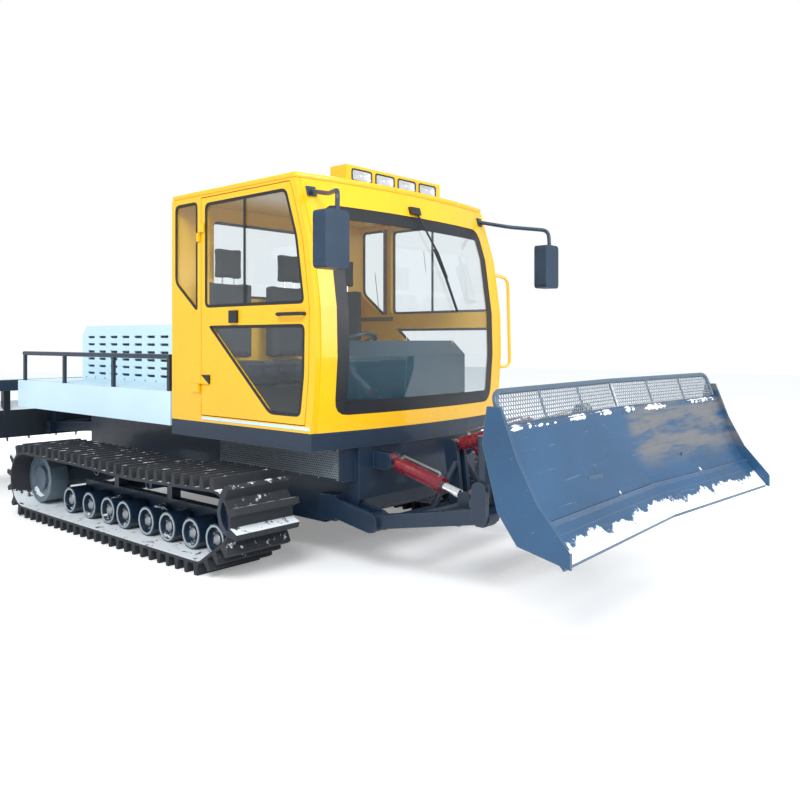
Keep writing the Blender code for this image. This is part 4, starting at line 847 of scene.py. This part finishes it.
pane_bodies = []
for side_name, side in SIDES:
    out = Vector((0, side, 0))
    for node, body in ((f"door_upper_glass_{side_name}", f"door_{side_name}"),
                       (f"door_lower_glass_{side_name}", f"door_{side_name}"),
                       (f"quarter_window_{side_name}", "chassis")):
        pane_bodies.append((node, body, out))
pane_bodies.append(("rear_window", "chassis", Vector((-1, 0, 0))))
for node, body, out in pane_bodies:
    loop = rim_of(node, out)
    seal = bmesh.new()
    add_ring(seal, loop, inwards(loop, SEAL_WIDTH, out), SEAL_LIFT, SEAL_RISE, out)
    seal_name = node.replace("glass", "seal").replace("window", "seal")
    piece(seal_name, seal, SEAL_AND_SHADE, body, SEAL_EDGE)

glass_tree = BVHTree.FromObject(parts["windscreen"], bpy.context.evaluated_depsgraph_get())


def on_glass(y, z):
    """The point of the windscreen's outer face at this place across and up."""
    hit = glass_tree.ray_cast(Vector((RAY_START_X, y, z)), Vector((-1, 0, 0)))[0]
    return Vector((hit.x, y, z))


forward = Vector((1, 0, 0))
loop = rim_of("windscreen", forward)
inner = inwards(loop, BORDER_WIDTH, forward)
inner = [on_glass(point.y, point.z) for point in inner]
border = bmesh.new()
add_ring(border, loop, inner, BORDER_LIFT, BORDER_LIFT + BORDER_DEPTH, forward)
piece("windscreen_border", border, SEAL_AND_SHADE, "chassis")
print(len(pane_bodies), "seals and a border of", len(loop), "points")

# %% [markdown]
# ## The door's fittings
# The door's square latch and its pull bar are black on the yellow panel, and a black bar divides its
# sliding upper window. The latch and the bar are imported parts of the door, so only their faces change.

# %% Door fittings
CAB_SIDE = 0.95  # half of the cab's width, from which the fittings stand out
FITTING_RISE = 0.0006
HINGES_END_X = 0.60  # the yellow hinges lie behind it, the latch and the pull bar before it
BAR_X = (1.009, 1.031)
BAR_DEPTH = (0.0052, 0.0010)
BAR_EDGE = 0.001


def stands_out(place, normal):
    return abs(place.y) > CAB_SIDE + FITTING_RISE and place.x > HINGES_END_X


for side_name, side in SIDES:
    changed = repaint(f"door_{side_name}", BLACK, stands_out)
    low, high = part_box(f"door_upper_glass_{side_name}")
    bar = bmesh.new()
    depths = sorted(side * (CAB_SIDE - depth) for depth in BAR_DEPTH)
    add_box(bar, (BAR_X[0], depths[0], low[2]), (BAR_X[1], depths[1], high[2]))
    piece(f"door_window_bar_{side_name}", bar, SEAL_AND_SHADE, f"door_{side_name}", BAR_EDGE)
    print(side_name, "door:", changed, "black faces")

# %% [markdown]
# ## The work lamps
# Four rectangular halogen lamps sit in the roof's yellow box. Each has a black bezel, a bright pressed
# reflector, a bulb and a clear lens.

# %% Work lamps
LAMP_Y = (-0.3375, -0.1125, 0.1125, 0.3375)
lamp_low, lamp_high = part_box("roof_lamps")
LAMP_MIDDLE_Z = (lamp_low[2] + lamp_high[2]) / 2
LAMP_FACE_X = lamp_high[0]
LAMP_DEPTH = 0.012
LAMP_HALF = (0.0970, 0.0420)
CORNER_SHARE = 0.45  # of the smaller half size
BEZEL = 0.010
BEZEL_START, BEZEL_END = -0.0108, 0.004  # along the light, from the box's face
BEZEL_EDGE = 0.0015
LENS_GAP = 0.0005
LENS_THICK = 0.002
BULB_PROFILE = ((0, 0), (0.008, 0), (0.008, 0.004), (0.0, 0.0065))
BULB_BACK = 0.0095
# share of the lamp's size, place along the light
BOWL = ((0.25, -0.0100), (0.55, -0.0085), (0.80, -0.0055), (0.97, -0.0015), (1.0, -0.0015), (1.0, -0.0115))

repaint("roof_lamps", BLACK, lambda place, normal: place.x < LAMP_FACE_X - LAMP_DEPTH / 3 and normal.x > 0.5)
bezels, bowls, lenses, bulbs = bmesh.new(), bmesh.new(), bmesh.new(), bmesh.new()
half_y, half_z = LAMP_HALF
clear_y, clear_z = half_y - BEZEL, half_z - BEZEL


def lamp_ring(y, ring_y, ring_z, x):
    outline = round_box(ring_y, ring_z, min(ring_y, ring_z) * CORNER_SHARE)
    return [Vector((x, y + a, LAMP_MIDDLE_Z + b)) for a, b in outline]


for y in LAMP_Y:
    outside = lamp_ring(y, half_y, half_z, LAMP_FACE_X)
    inside = lamp_ring(y, clear_y, clear_z, LAMP_FACE_X)
    add_ring(bezels, outside, inside, BEZEL_START, BEZEL_END, (1, 0, 0))
    rings = [lamp_ring(y, clear_y * share, clear_z * share, LAMP_FACE_X + depth) for share, depth in BOWL]
    add_sections(bowls, rings)
    lens = lamp_ring(y, clear_y - LENS_GAP, clear_z - LENS_GAP, LAMP_FACE_X + LENS_GAP)
    add_sections(lenses, [lens, [point + Vector((LENS_THICK, 0, 0)) for point in lens]])
    add_turned(bulbs, BULB_PROFILE, (LAMP_FACE_X - BULB_BACK, y, LAMP_MIDDLE_Z), (1, 0, 0), 16)
piece("lamp_bezels", bezels, BLACK, "chassis", BEZEL_EDGE)
piece("lamp_reflectors", bowls, CHROME, "chassis")
piece("lamp_bulbs", bulbs, LAMP_BULB, "chassis")
piece("lamp_lenses", lenses, LENS, "chassis")
print(len(LAMP_Y), "lamps")

# %% [markdown]
# ## The engine hood's slots
# The hood's sides are punched with seven columns of six slots. Real slots let the dark inside show, which a
# dark sticker can't do when the light moves, so a grid of cutters goes through a copy of the hood.

# %% Hood slots
SLOT_COLUMNS, SLOT_ROWS = 7, 6
SLOT_SIZE = (0.125, 0.020)
SLOT_PITCH = (0.20, 0.065)
SLOT_MIDDLE = (-1.22, 1.2675)
SLOT_CORNER = 0.006
CUT_PAST = 0.05
HOOD_EDGE = 0.004
FLAT_ANGLE = 0.01  # faces that turn less than this are one flat face

cutter = bmesh.new()
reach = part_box("engine_hood")[1][1] + CUT_PAST
outline = round_box(SLOT_SIZE[0] / 2, SLOT_SIZE[1] / 2, SLOT_CORNER, 2)
add_sections(cutter, [[(a, b, z) for a, b in outline] for z in (-reach, reach)])
cuts = grown("hood_slots", GRID, facing((SLOT_MIDDLE[0], 0, SLOT_MIDDLE[1]), (1, 0, 0), (0, 0, 1)),
             Shape=helper_object("slot", cutter), Columns=SLOT_COLUMNS, Rows=SLOT_ROWS, Pitch=SLOT_PITCH[0],
             Row_Pitch=SLOT_PITCH[1], Stagger=0.0, Finish=PALE)


def merged_copy(node):
    shape = bmesh.new()
    shape.from_mesh(parts[node].data)
    bmesh.ops.remove_doubles(shape, verts=shape.verts, dist=MERGE)
    bmesh.ops.dissolve_limit(shape, angle_limit=FLAT_ANGLE, verts=shape.verts, edges=shape.edges)
    mesh = bpy.data.meshes.new(node)
    shape.to_mesh(mesh)
    shape.free()
    return mesh


def punched(node, cutter_mesh):
    """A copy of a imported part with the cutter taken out."""
    body = bpy.data.objects.new("punched", merged_copy(node))
    tool = bpy.data.objects.new("punch", cutter_mesh)
    for made in (body, tool):
        bpy.context.scene.collection.objects.link(made)
    cut = body.modifiers.new("cut", "BOOLEAN")
    cut.operation = "DIFFERENCE"
    cut.solver = "EXACT"
    cut.object = tool
    depsgraph = bpy.context.evaluated_depsgraph_get()
    mesh = bpy.data.meshes.new_from_object(body.evaluated_get(depsgraph))
    for made in (body, tool):
        bpy.data.objects.remove(made, do_unlink=True)
    return mesh


hood = settle("hood_with_slots", punched("engine_hood", cuts), PALE, "chassis", HOOD_EDGE)
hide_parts("engine_hood")
print("hood with", SLOT_COLUMNS * SLOT_ROWS, "slots a side,", len(hood.data.polygons), "faces")

# %% [markdown]
# ## Perforated sheet
# The side guards and the screen over the blade are steel sheet, punched with round-cornered six-sided
# holes. One cell of such a sheet is a six-sided ring. A shifted grid of rings makes the sheet, with real
# holes that show what is behind them.

# %% Perforated sheet
def cell_ring(pitch, bar, depth):
    """One cell: its outer edge is the cell's border and its inner edge the hole."""
    shape = bmesh.new()
    outer = pitch / math.sqrt(3)
    hole = (pitch - bar) / math.sqrt(3)
    rings = []
    for k in range(6):
        turn = math.pi * k / 3
        rings.append([(r * math.sin(turn), r * math.cos(turn), z)
                      for r, z in ((outer, 0), (outer, depth), (hole, depth), (hole, 0))])
    add_sections(shape, rings, closed=True)
    return shape


def sheet_mesh(name, columns, rows, pitch, bar, depth, place, finish):
    return grown(name, GRID, place, Shape=helper_object("cell", cell_ring(pitch, bar, depth)),
                 Columns=columns, Rows=rows, Pitch=pitch, Row_Pitch=pitch * math.sqrt(3) / 2, Stagger=0.5,
                 Finish=finish)


GUARD_X = (0.44, 1.66)
GUARD_Z = (0.545, 0.737)
GUARD_Y = 0.7206
GUARD_PITCH, GUARD_BAR = 0.0165, 0.0042
GUARD_SHEET = 0.002
GUARD_RIM_WIDTH, GUARD_RIM_RISE = 0.012, 0.003
PLATE_Y = 0.7195  # the faces of the hull's side plates lie further out

guard_middle = ((GUARD_X[0] + GUARD_X[1]) / 2, (GUARD_Z[0] + GUARD_Z[1]) / 2)
guard_columns = int((GUARD_X[1] - GUARD_X[0]) / GUARD_PITCH - 0.5)
guard_rows = int((GUARD_Z[1] - GUARD_Z[0]) / (GUARD_PITCH * math.sqrt(3) / 2))
for side_name, side in SIDES:
    middle = (guard_middle[0] + side * GUARD_PITCH / 4, side * GUARD_Y, guard_middle[1])
    place = facing(middle, (-side, 0, 0), (0, 0, 1))
    mesh = sheet_mesh(f"side_guard_{side_name}", guard_columns, guard_rows, GUARD_PITCH, GUARD_BAR,
                      GUARD_SHEET, place, GUARD_STEEL)
    settle(f"side_guard_{side_name}", mesh, GUARD_STEEL, "chassis")
    frame_shape = bmesh.new()
    corners = [Vector((x, side * GUARD_Y, z)) for x, z in
               ((GUARD_X[0], GUARD_Z[0]), (GUARD_X[1], GUARD_Z[0]), (GUARD_X[1], GUARD_Z[1]),
                (GUARD_X[0], GUARD_Z[1]))]
    out = Vector((0, side, 0))
    add_ring(frame_shape, corners, inwards(corners, GUARD_RIM_WIDTH, out), 0.0, GUARD_RIM_RISE, out)
    piece(f"side_guard_frame_{side_name}", frame_shape, NAVY, "chassis")
# painted shade: the hull's side plates behind the guards get the near-black seal finish, for the shade behind
# the holes
behind = repaint("chassis_hull", SEAL_AND_SHADE, lambda place, normal: abs(place.y) > PLATE_Y)
print(behind, "dark faces behind the guards")
print("side guards:", guard_columns, "x", guard_rows, "holes")

# %% [markdown]
# ### The screen over the blade
# The screen stands on the mouldboard's top edge and folds with it in the middle. A round rail frames it,
# and both its ends bend down to the end plates.

# %% The screen over the blade
BLADE_HALF = 1.26
BLADE_SET_BACK = 0.075  # of the V's middle
SCREEN_FOOT = (3.185, 1.0353)  # x, z of its foot at the blade's ends
SCREEN_HEAD = (3.135, 1.175)
SCREEN_END = 1.225
SCREEN_PITCH, SCREEN_BAR = 0.0215, 0.0055
SCREEN_SHEET = 0.003
SCREEN_ROOT = 0.006  # each half starts this far from the fold
SCREEN_MIDDLE = 0.47  # of the way up, where each half's sheet is centred
RAIL_RADIUS = 0.014
RAIL_BEND = 0.06
RAIL_FOOT = 0.03  # of the way up
SCREEN_UPRIGHTS = (-0.82, -0.41, 0.0, 0.41, 0.82)
UPRIGHT_FOOT, UPRIGHT_RADIUS = 0.02, 0.006


def on_screen(y, share):
    """A point of the screen's sheet: share 0 is its foot and 1 its rail."""
    back = BLADE_SET_BACK * (1 - abs(y) / BLADE_HALF)
    return Vector((SCREEN_FOOT[0] + (SCREEN_HEAD[0] - SCREEN_FOOT[0]) * share - back, y,
                   SCREEN_FOOT[1] + (SCREEN_HEAD[1] - SCREEN_FOOT[1]) * share))


screen_columns = int((SCREEN_END - 0.02) / SCREEN_PITCH - 0.5)
slope_height = (on_screen(0, 1) - on_screen(0, 0)).length
screen_rows = int((slope_height - RAIL_RADIUS) / (SCREEN_PITCH * math.sqrt(3) / 2))
halves = []
for side in (-1, 1):
    end, root = on_screen(side * SCREEN_END, 0), on_screen(side * SCREEN_ROOT, 0)
    across = (end - root) * side
    up = on_screen(side, 1) - on_screen(side, 0)
    middle = (end + root) / 2 + up * SCREEN_MIDDLE - across.normalized() * SCREEN_PITCH / 4
    halves.append(sheet_mesh("screen_half", screen_columns, screen_rows, SCREEN_PITCH, SCREEN_BAR,
                             SCREEN_SHEET, facing(middle, across, up), GUARD_STEEL))
screen = settle("blade_screen_sheet", joined(halves), GUARD_STEEL, "blade")
rail = bmesh.new()
ends = [on_screen(side * SCREEN_END, RAIL_FOOT) for side in (-1, 1)]
route = [ends[0], on_screen(-SCREEN_END, 1), on_screen(0, 1), on_screen(SCREEN_END, 1), ends[1]]
add_tube(rail, bend(route, RAIL_BEND), RAIL_RADIUS, 14)
for y in SCREEN_UPRIGHTS:
    add_tube(rail, [on_screen(y, UPRIGHT_FOOT), on_screen(y, 1)], UPRIGHT_RADIUS, 8)
rail_piece = piece("blade_screen_rail", rail, BLADE_RAIL, "blade")
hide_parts("blade_screen")
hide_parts("blade_screen")
print("blade screen:", 2 * screen_columns, "x", screen_rows, "holes")

# %% [markdown]
# ## Wheels and hubs
# The load wheels are steel discs in thin light rims, with a hub and a ring of bolts each. The bolts come
# from the tree that sets one shape, here a hexagon head, on every point of a path.

# %% Wheels, hubs and their bolts
WHEEL_X = (-0.782, -0.485, -0.216, 0.002, 0.294, 0.547, 0.816, 1.071)
WHEEL_Z = 0.185
WHEEL_DISH_Y = 1.180
RIM_PROFILE = ((0.078, 0.0), (0.0905, 0.0), (0.0905, 0.0335), (0.078, 0.0335))
HUB_PROFILE = ((0.0, -0.001), (0.036, -0.001), (0.034, 0.016), (0.020, 0.026), (0.0, 0.026))
WHEEL_EDGE = 0.001
HUB_BOLTS, HUB_BOLT_CIRCLE, HUB_BOLT_SIZE = 6, 0.053, 0.008
# radius and height of a hexagon head with its washer, as shares of its size
HEAD = ((1.0, 0.7), (0.85, 0.8), (0, 0.8))
WASHER = 1.25
WASHER_SUNK, WASHER_RISE = -0.001, 0.0015


def circle(centre, radius, y, count):
    turns = [2 * math.pi * (k + 0.5) / count for k in range(count)]
    return [(centre[0] + radius * math.cos(t), y, centre[1] + radius * math.sin(t)) for t in turns]


def bolt_heads(name, routes, size, axis, finish, body):
    """A hexagon head on every point of every route, looking along the axis."""
    meshes = []
    for route in routes:
        head = bmesh.new()
        washer = ((0, WASHER_SUNK), (size * WASHER, WASHER_SUNK), (size * WASHER, WASHER_RISE),
                  (size, WASHER_RISE))
        top = tuple((size * share, size * height) for share, height in HEAD)
        add_turned(head, washer + top, (0, 0, 0), axis, 6)
        meshes.append(grown(name, PATH, Shape=helper_object("head", head), Path=helper_object("route", route),
                            Count=len(route), Finish=finish))
    return settle(name, joined(meshes), finish, body)


for side_name, side in SIDES:
    rims, hubs, bolt_routes = bmesh.new(), bmesh.new(), []
    axis = (0, side, 0)
    for x in WHEEL_X:
        middle = (x, side * WHEEL_DISH_Y, WHEEL_Z)
        add_turned(rims, RIM_PROFILE, middle, axis, 32)
        add_turned(hubs, HUB_PROFILE, middle, axis, 20)
        bolt_routes.append(circle((x, WHEEL_Z), HUB_BOLT_CIRCLE, side * WHEEL_DISH_Y, HUB_BOLTS))
    piece(f"wheel_rims_{side_name}", rims, RIM_LIGHT, "chassis", WHEEL_EDGE)
    piece(f"wheel_hubs_{side_name}", hubs, STEEL, "chassis", WHEEL_EDGE)
    bolt_heads(f"wheel_bolts_{side_name}", bolt_routes, HUB_BOLT_SIZE, axis, STEEL, "chassis")
print(len(WHEEL_X) * 2, "wheels dressed")

# %% [markdown]
# ## Snow that has a body
# Thrown snow packs along the blade's foot and under its screen. A chain of lumps would look strung, so one
# bar follows the blade's fold and a noise swells and thins it into a crust.

# %% Snow crusts on the blade
CRUST_STEPS = 260
CRUST_SIDES = 9
BLADE_HIGH = ((3.208, 1.000), (3.196, 1.033))
BLADE_FOOT = ((3.392, 0.585), (3.352, 0.650))
CRUST_END = 1.20
FOOT_THICK, TOP_THICK = 0.016, 0.011
# how many lumps come on a metre: the crust's height on the blade, its broad and its small lumps, its skin
WANDER, BROAD_LUMPS, SMALL_LUMPS, SKIN = 3.1, 9.0, 31.0, 24.0
LEAST_SWELL = 0.10
CRUST_SHARE = 0.45  # of the strip's height, where the swell is 1


def blade_point(x, y, z):
    return Vector((x - BLADE_SET_BACK * (1 - abs(y) / BLADE_HALF), y, z))


def snow_crust(name, low, high, half_width, thick, seed, body):
    """A lumpy bar along the blade, between two heights of its face."""
    random.seed(seed)
    shape = bmesh.new()
    phases = [random.uniform(0, 60) for step in range(3)]
    sections = []
    for i in range(CRUST_STEPS + 1):
        y = -half_width + 2 * half_width * i / CRUST_STEPS
        share = 0.5 + 0.5 * surface_noise.noise(Vector((y * WANDER, phases[0], 0)))
        swell = max(LEAST_SWELL, 0.5 + 1.0 * surface_noise.noise(Vector((y * BROAD_LUMPS, phases[1], 0)))
                    + 0.6 * surface_noise.noise(Vector((y * SMALL_LUMPS, phases[2], 0))))
        a, b = blade_point(low[0], y, low[1]), blade_point(high[0], y, high[1])
        middle = a.lerp(b, share * 0.5 + 0.2)
        along = (b - a).normalized()
        out = Vector((along.z, 0, -along.x))
        section = []
        for k in range(CRUST_SIDES):
            turn = 2 * math.pi * k / CRUST_SIDES
            rough = 1 + 0.35 * surface_noise.noise(Vector((y * SKIN, turn * 1.3, phases[0])))
            tall = (b - a).length * CRUST_SHARE * swell * rough
            deep = thick * swell * rough
            section.append(middle + along * tall * math.sin(turn) + out * deep * math.cos(turn))
        sections.append(section)
    add_sections(shape, sections)
    return piece(name, shape, SNOW, body)


snow_crust("snow_on_blade_foot", *BLADE_FOOT, CRUST_END, FOOT_THICK, 4, "blade")
snow_crust("snow_under_screen", *BLADE_HIGH, CRUST_END, TOP_THICK, 9, "blade")
print("two crusts of", CRUST_STEPS, "steps")

# %% [markdown]
# ## In the cab
# Through the large panes the seats, the dash and the wheel show. The seats' cushions are blown up a little
# by Blender's cloth, which rounds a cut block the way foam fills its cover.

# %% Seats with blown cushions
SEAT_Y = (-0.58, 0.0, 0.58)
# name, low corner and high corner from the seat's middle line, fill, movement cap
CUSHIONS = (
    ("seat", (0.285, -0.235, 1.085), (0.775, 0.235, 1.255), 0.6, 0.010),
    ("back", (0.285, -0.215, 1.265), (0.405, 0.215, 1.825), 0.5, 0.009),
    ("headrest", (0.315, -0.115, 1.845), (0.395, 0.115, 2.070), 0.5, 0.007),
)
VOXEL = 0.006
CLOTH_FRAMES = 20
PRESSURE = 4.0
CUSHION_CORNER = 0.55  # of the smaller half size
CUSHION_EDGE = 0.012
PLINTH = ((0.26, -0.86, 0.852), (0.70, 0.86, 1.078))
PLINTH_EDGE = 0.01
POST_X, POST_APART, POST_RADIUS = 0.355, 0.05, 0.006
POST_Z = (1.80, 1.87)


def shaped_cushion(name, low, high, cap):
    """The mesh of one cushion on the cab's middle line."""
    shape = bmesh.new()
    half = [(h - l) / 2 for l, h in zip(low, high)]
    middle = Vector([(h + l) / 2 for l, h in zip(low, high)])
    outline = round_box(half[0] - cap, half[1] - cap, min(half[0], half[1]) * CUSHION_CORNER, 4)
    levels = (-half[2] + cap, half[2] - cap)
    add_sections(shape, [[middle + Vector((a, b, z)) for a, b in outline] for z in levels])
    made = piece(name, shape, SEAT_CLOTH, "chassis", CUSHION_EDGE)
    depsgraph = bpy.context.evaluated_depsgraph_get()
    made.data = bpy.data.meshes.new_from_object(made.evaluated_get(depsgraph))
    made.modifiers.clear()
    blow_up(made, cap)
    mesh = made.data
    bpy.data.objects.remove(made, do_unlink=True)
    return mesh


def blow_up(made, cap):
    """Cloth with inner pressure, and no point moved further than the cap."""
    remesh = made.modifiers.new("even", "REMESH")
    remesh.mode = "VOXEL"
    remesh.voxel_size = VOXEL
    depsgraph = bpy.context.evaluated_depsgraph_get()
    made.data = bpy.data.meshes.new_from_object(made.evaluated_get(depsgraph))
    made.modifiers.clear()
    before = [vertex.co.copy() for vertex in made.data.vertices]
    cloth = made.modifiers.new("cloth", "CLOTH")
    cloth.settings.use_pressure = True
    cloth.settings.uniform_pressure_force = PRESSURE
    cloth.settings.effector_weights.gravity = 0.0
    cloth.point_cache.frame_start = 1
    cloth.point_cache.frame_end = CLOTH_FRAMES
    for number in range(1, CLOTH_FRAMES + 1):
        bpy.context.scene.frame_set(number)
    depsgraph = bpy.context.evaluated_depsgraph_get()
    blown = made.evaluated_get(depsgraph).to_mesh()
    for vertex, start, end in zip(made.data.vertices, before, [v.co.copy() for v in blown.vertices]):
        step = end - start
        vertex.co = start + step * min(1.0, cap / max(step.length, 1e-9))
    made.modifiers.clear()
    bpy.context.scene.frame_set(1)
    made.data.shade_smooth()


plinth = bmesh.new()
add_box(plinth, *PLINTH)
plinth_piece = piece("seat_plinth", plinth, BLACK, "chassis", PLINTH_EDGE)
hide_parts("seats")
posts = bmesh.new()
for kind, low, high, fill, cap in CUSHIONS:
    shaped = shaped_cushion(kind, low, high, cap)
    for number, y in enumerate(SEAT_Y):
        mesh = shaped.copy()
        mesh.transform(Matrix.Translation((0, y, 0)))
        settle(f"{kind}_{number}", mesh, SEAT_CLOTH, "chassis")
for y in SEAT_Y:
    for offset in (-POST_APART, POST_APART):
        add_tube(posts, [(POST_X, y + offset, z) for z in POST_Z], POST_RADIUS, 8)
piece("headrest_posts", posts, CHROME, "chassis")
print(len(SEAT_Y) * len(CUSHIONS), "cushions, blown")

# %% [markdown]
# ## Cab lining, mirror glass and painted sill highlights
# Tan pillars and a yellow-brown strip under the panes line the cab. Both mirrors get their glass, and the
# sill under each door a pale strip, a painted highlight along its edge.

# %% Lining, mirror glass and painted sill highlights
LINING_Y = 0.9098
LINING_RISE = 0.006
LINING_EDGE = 0.002
# x and z of each strip's low and high corner: the beltline, the rear pillar and the one behind the door
LINING_STRIPS = (((0.235, 1.565), (0.62, 1.60)), ((0.205, 0.90), (0.238, 2.36)),
                 ((0.512, 1.62), (0.552, 2.34)))
MIRROR_GLASS = (1.9405, 1.11, 1.95)
MIRROR_HALF = (0.075, 0.145)
MIRROR_CORNER = 0.02
MIRROR_THICK = 0.0074
# the pale strip along each sill is a painted highlight of the floor plate's edge
SILL_HIGHLIGHT_X = (0.56, 1.64)
SILL_HIGHLIGHT_Y = (0.9502, 0.9525)
SILL_HIGHLIGHT_Z = (0.868, 0.888)
SILL_HIGHLIGHT_EDGE = 0.001

for side_name, side in SIDES:
    lining = bmesh.new()
    inner = side * LINING_Y
    for low, high in LINING_STRIPS:
        ys = sorted((inner, inner - side * LINING_RISE))
        add_box(lining, (low[0], ys[0], low[1]), (high[0], ys[1], high[1]))
    piece(f"lining_{side_name}", lining, LINING, "chassis", LINING_EDGE)
    glass_shape = bmesh.new()
    outline = round_box(*MIRROR_HALF, MIRROR_CORNER)
    middle = Vector((MIRROR_GLASS[0], side * MIRROR_GLASS[1], MIRROR_GLASS[2]))
    levels = (0.0, MIRROR_THICK)
    add_sections(glass_shape, [[middle + Vector((x, a, b)) for a, b in outline] for x in levels])
    piece(f"mirror_glass_{side_name}", glass_shape, CHROME, "chassis")
    # painted highlight: a pale strip along the sill under the door
    sill_highlight = bmesh.new()
    ys = sorted(side * y for y in SILL_HIGHLIGHT_Y)
    add_box(sill_highlight, (SILL_HIGHLIGHT_X[0], ys[0], SILL_HIGHLIGHT_Z[0]), (SILL_HIGHLIGHT_X[1], ys[1], SILL_HIGHLIGHT_Z[1]))
    piece(f"sill_strip_{side_name}", sill_highlight, PALE, "chassis", SILL_HIGHLIGHT_EDGE)
print("lining, mirrors and strips")

# %% [markdown]
# ## Hydraulic pipes and fasteners
# Each cylinder's barrel carries a bent steel pipe between its two ports. The guards and the hood are bolted
# on with a row of hexagon heads.

# %% Pipes on the cylinders
# cylinder, its base, its eye, the barrel's radius and length
CYLINDER_ENDS = {
    "lift_cylinder_right": ((1.80, -0.42, 0.655), (2.40, -0.42, 0.50), 0.045, 0.43),
    "lift_cylinder_left": ((1.80, 0.42, 0.655), (2.40, 0.42, 0.50), 0.045, 0.43),
    "pitch_cylinder": ((1.98, 0.0, 0.72), (2.90, 0.0, 1.00), 0.045, 0.60),
    "angle_cylinder_right": ((2.74, -0.40, 0.70), (3.15, -0.56, 0.70), 0.034, 0.285),
    "angle_cylinder_left": ((2.74, 0.40, 0.70), (3.15, 0.56, 0.70), 0.034, 0.285),
    "rear_cylinder": ((-1.69, 0.0, 0.36), (-2.42, 0.0, 0.50), 0.045, 0.50),
}
PORT_SHARES = (0.22, 0.92)  # of the barrel's length
PORT_GAP = 0.010
PORT_PROFILE = ((0, 0), (0.014, 0), (0.014, 0.012), (0, 0.012))
PORT_SUNK = 0.004
PIPE_RADIUS = 0.008
PIPE_BEND = 0.012
PIPE_END = 0.8  # of the barrel's radius, where the pipe starts inside the port

for cylinder, (base, eye, radius, length) in CYLINDER_ENDS.items():
    way = (Vector(eye) - Vector(base)).normalized()
    up = Vector((0, 0, 1)) - way * way.z
    up.normalize()
    off = radius + PIPE_RADIUS + PORT_GAP
    first_port, last_port = [Vector(base) + way * length * share for share in PORT_SHARES]
    root = up * radius * PIPE_END
    route = [first_port + root, first_port + up * off, last_port + up * off, last_port + root]
    pipe = bmesh.new()
    add_tube(pipe, bend(route, PIPE_BEND), PIPE_RADIUS, 10)
    for port in (first_port, last_port):
        add_turned(pipe, PORT_PROFILE, port + up * (radius - PORT_SUNK), up, 6)
    piece(f"{cylinder}_pipe", pipe, STEEL, f"{cylinder}_barrel")
print(len(CYLINDER_ENDS), "barrels with pipes")

# %% [markdown]
# ### Rows of bolts
# The guards are held by two rows in their rims, and the hood by one along its foot.

# %% Bolts on the guards and the hood
GUARD_BOLTS, GUARD_BOLT_SIZE = 8, 0.005
GUARD_BOLT_ENDS = (GUARD_X[0] + 0.02, GUARD_X[1] - 0.02)
GUARD_BOLT_ROWS = (GUARD_Z[0] + 0.006, GUARD_Z[1] - 0.006)
HOOD_BOLTS, HOOD_BOLT_SIZE = 10, 0.006
HOOD_BOLT_ENDS = (-1.90, -0.40)
HOOD_SIDE_Y = 0.5
HOOD_BOLT_Z = 1.065


def spread(ends, count):
    return [ends[0] + (ends[1] - ends[0]) * k / (count - 1) for k in range(count)]


for side_name, side in SIDES:
    out = (0, side, 0)
    xs = spread(GUARD_BOLT_ENDS, GUARD_BOLTS)
    routes = [[(x, side * (GUARD_Y + GUARD_RIM_RISE), z) for x in xs] for z in GUARD_BOLT_ROWS]
    bolt_heads(f"guard_bolts_{side_name}", routes, GUARD_BOLT_SIZE, out, STEEL, "chassis")
    hood_route = [[(x, side * HOOD_SIDE_Y, HOOD_BOLT_Z) for x in spread(HOOD_BOLT_ENDS, HOOD_BOLTS)]]
    bolt_heads(f"hood_bolts_{side_name}", hood_route, HOOD_BOLT_SIZE, out, STEEL, "chassis")
print("bolt rows set")
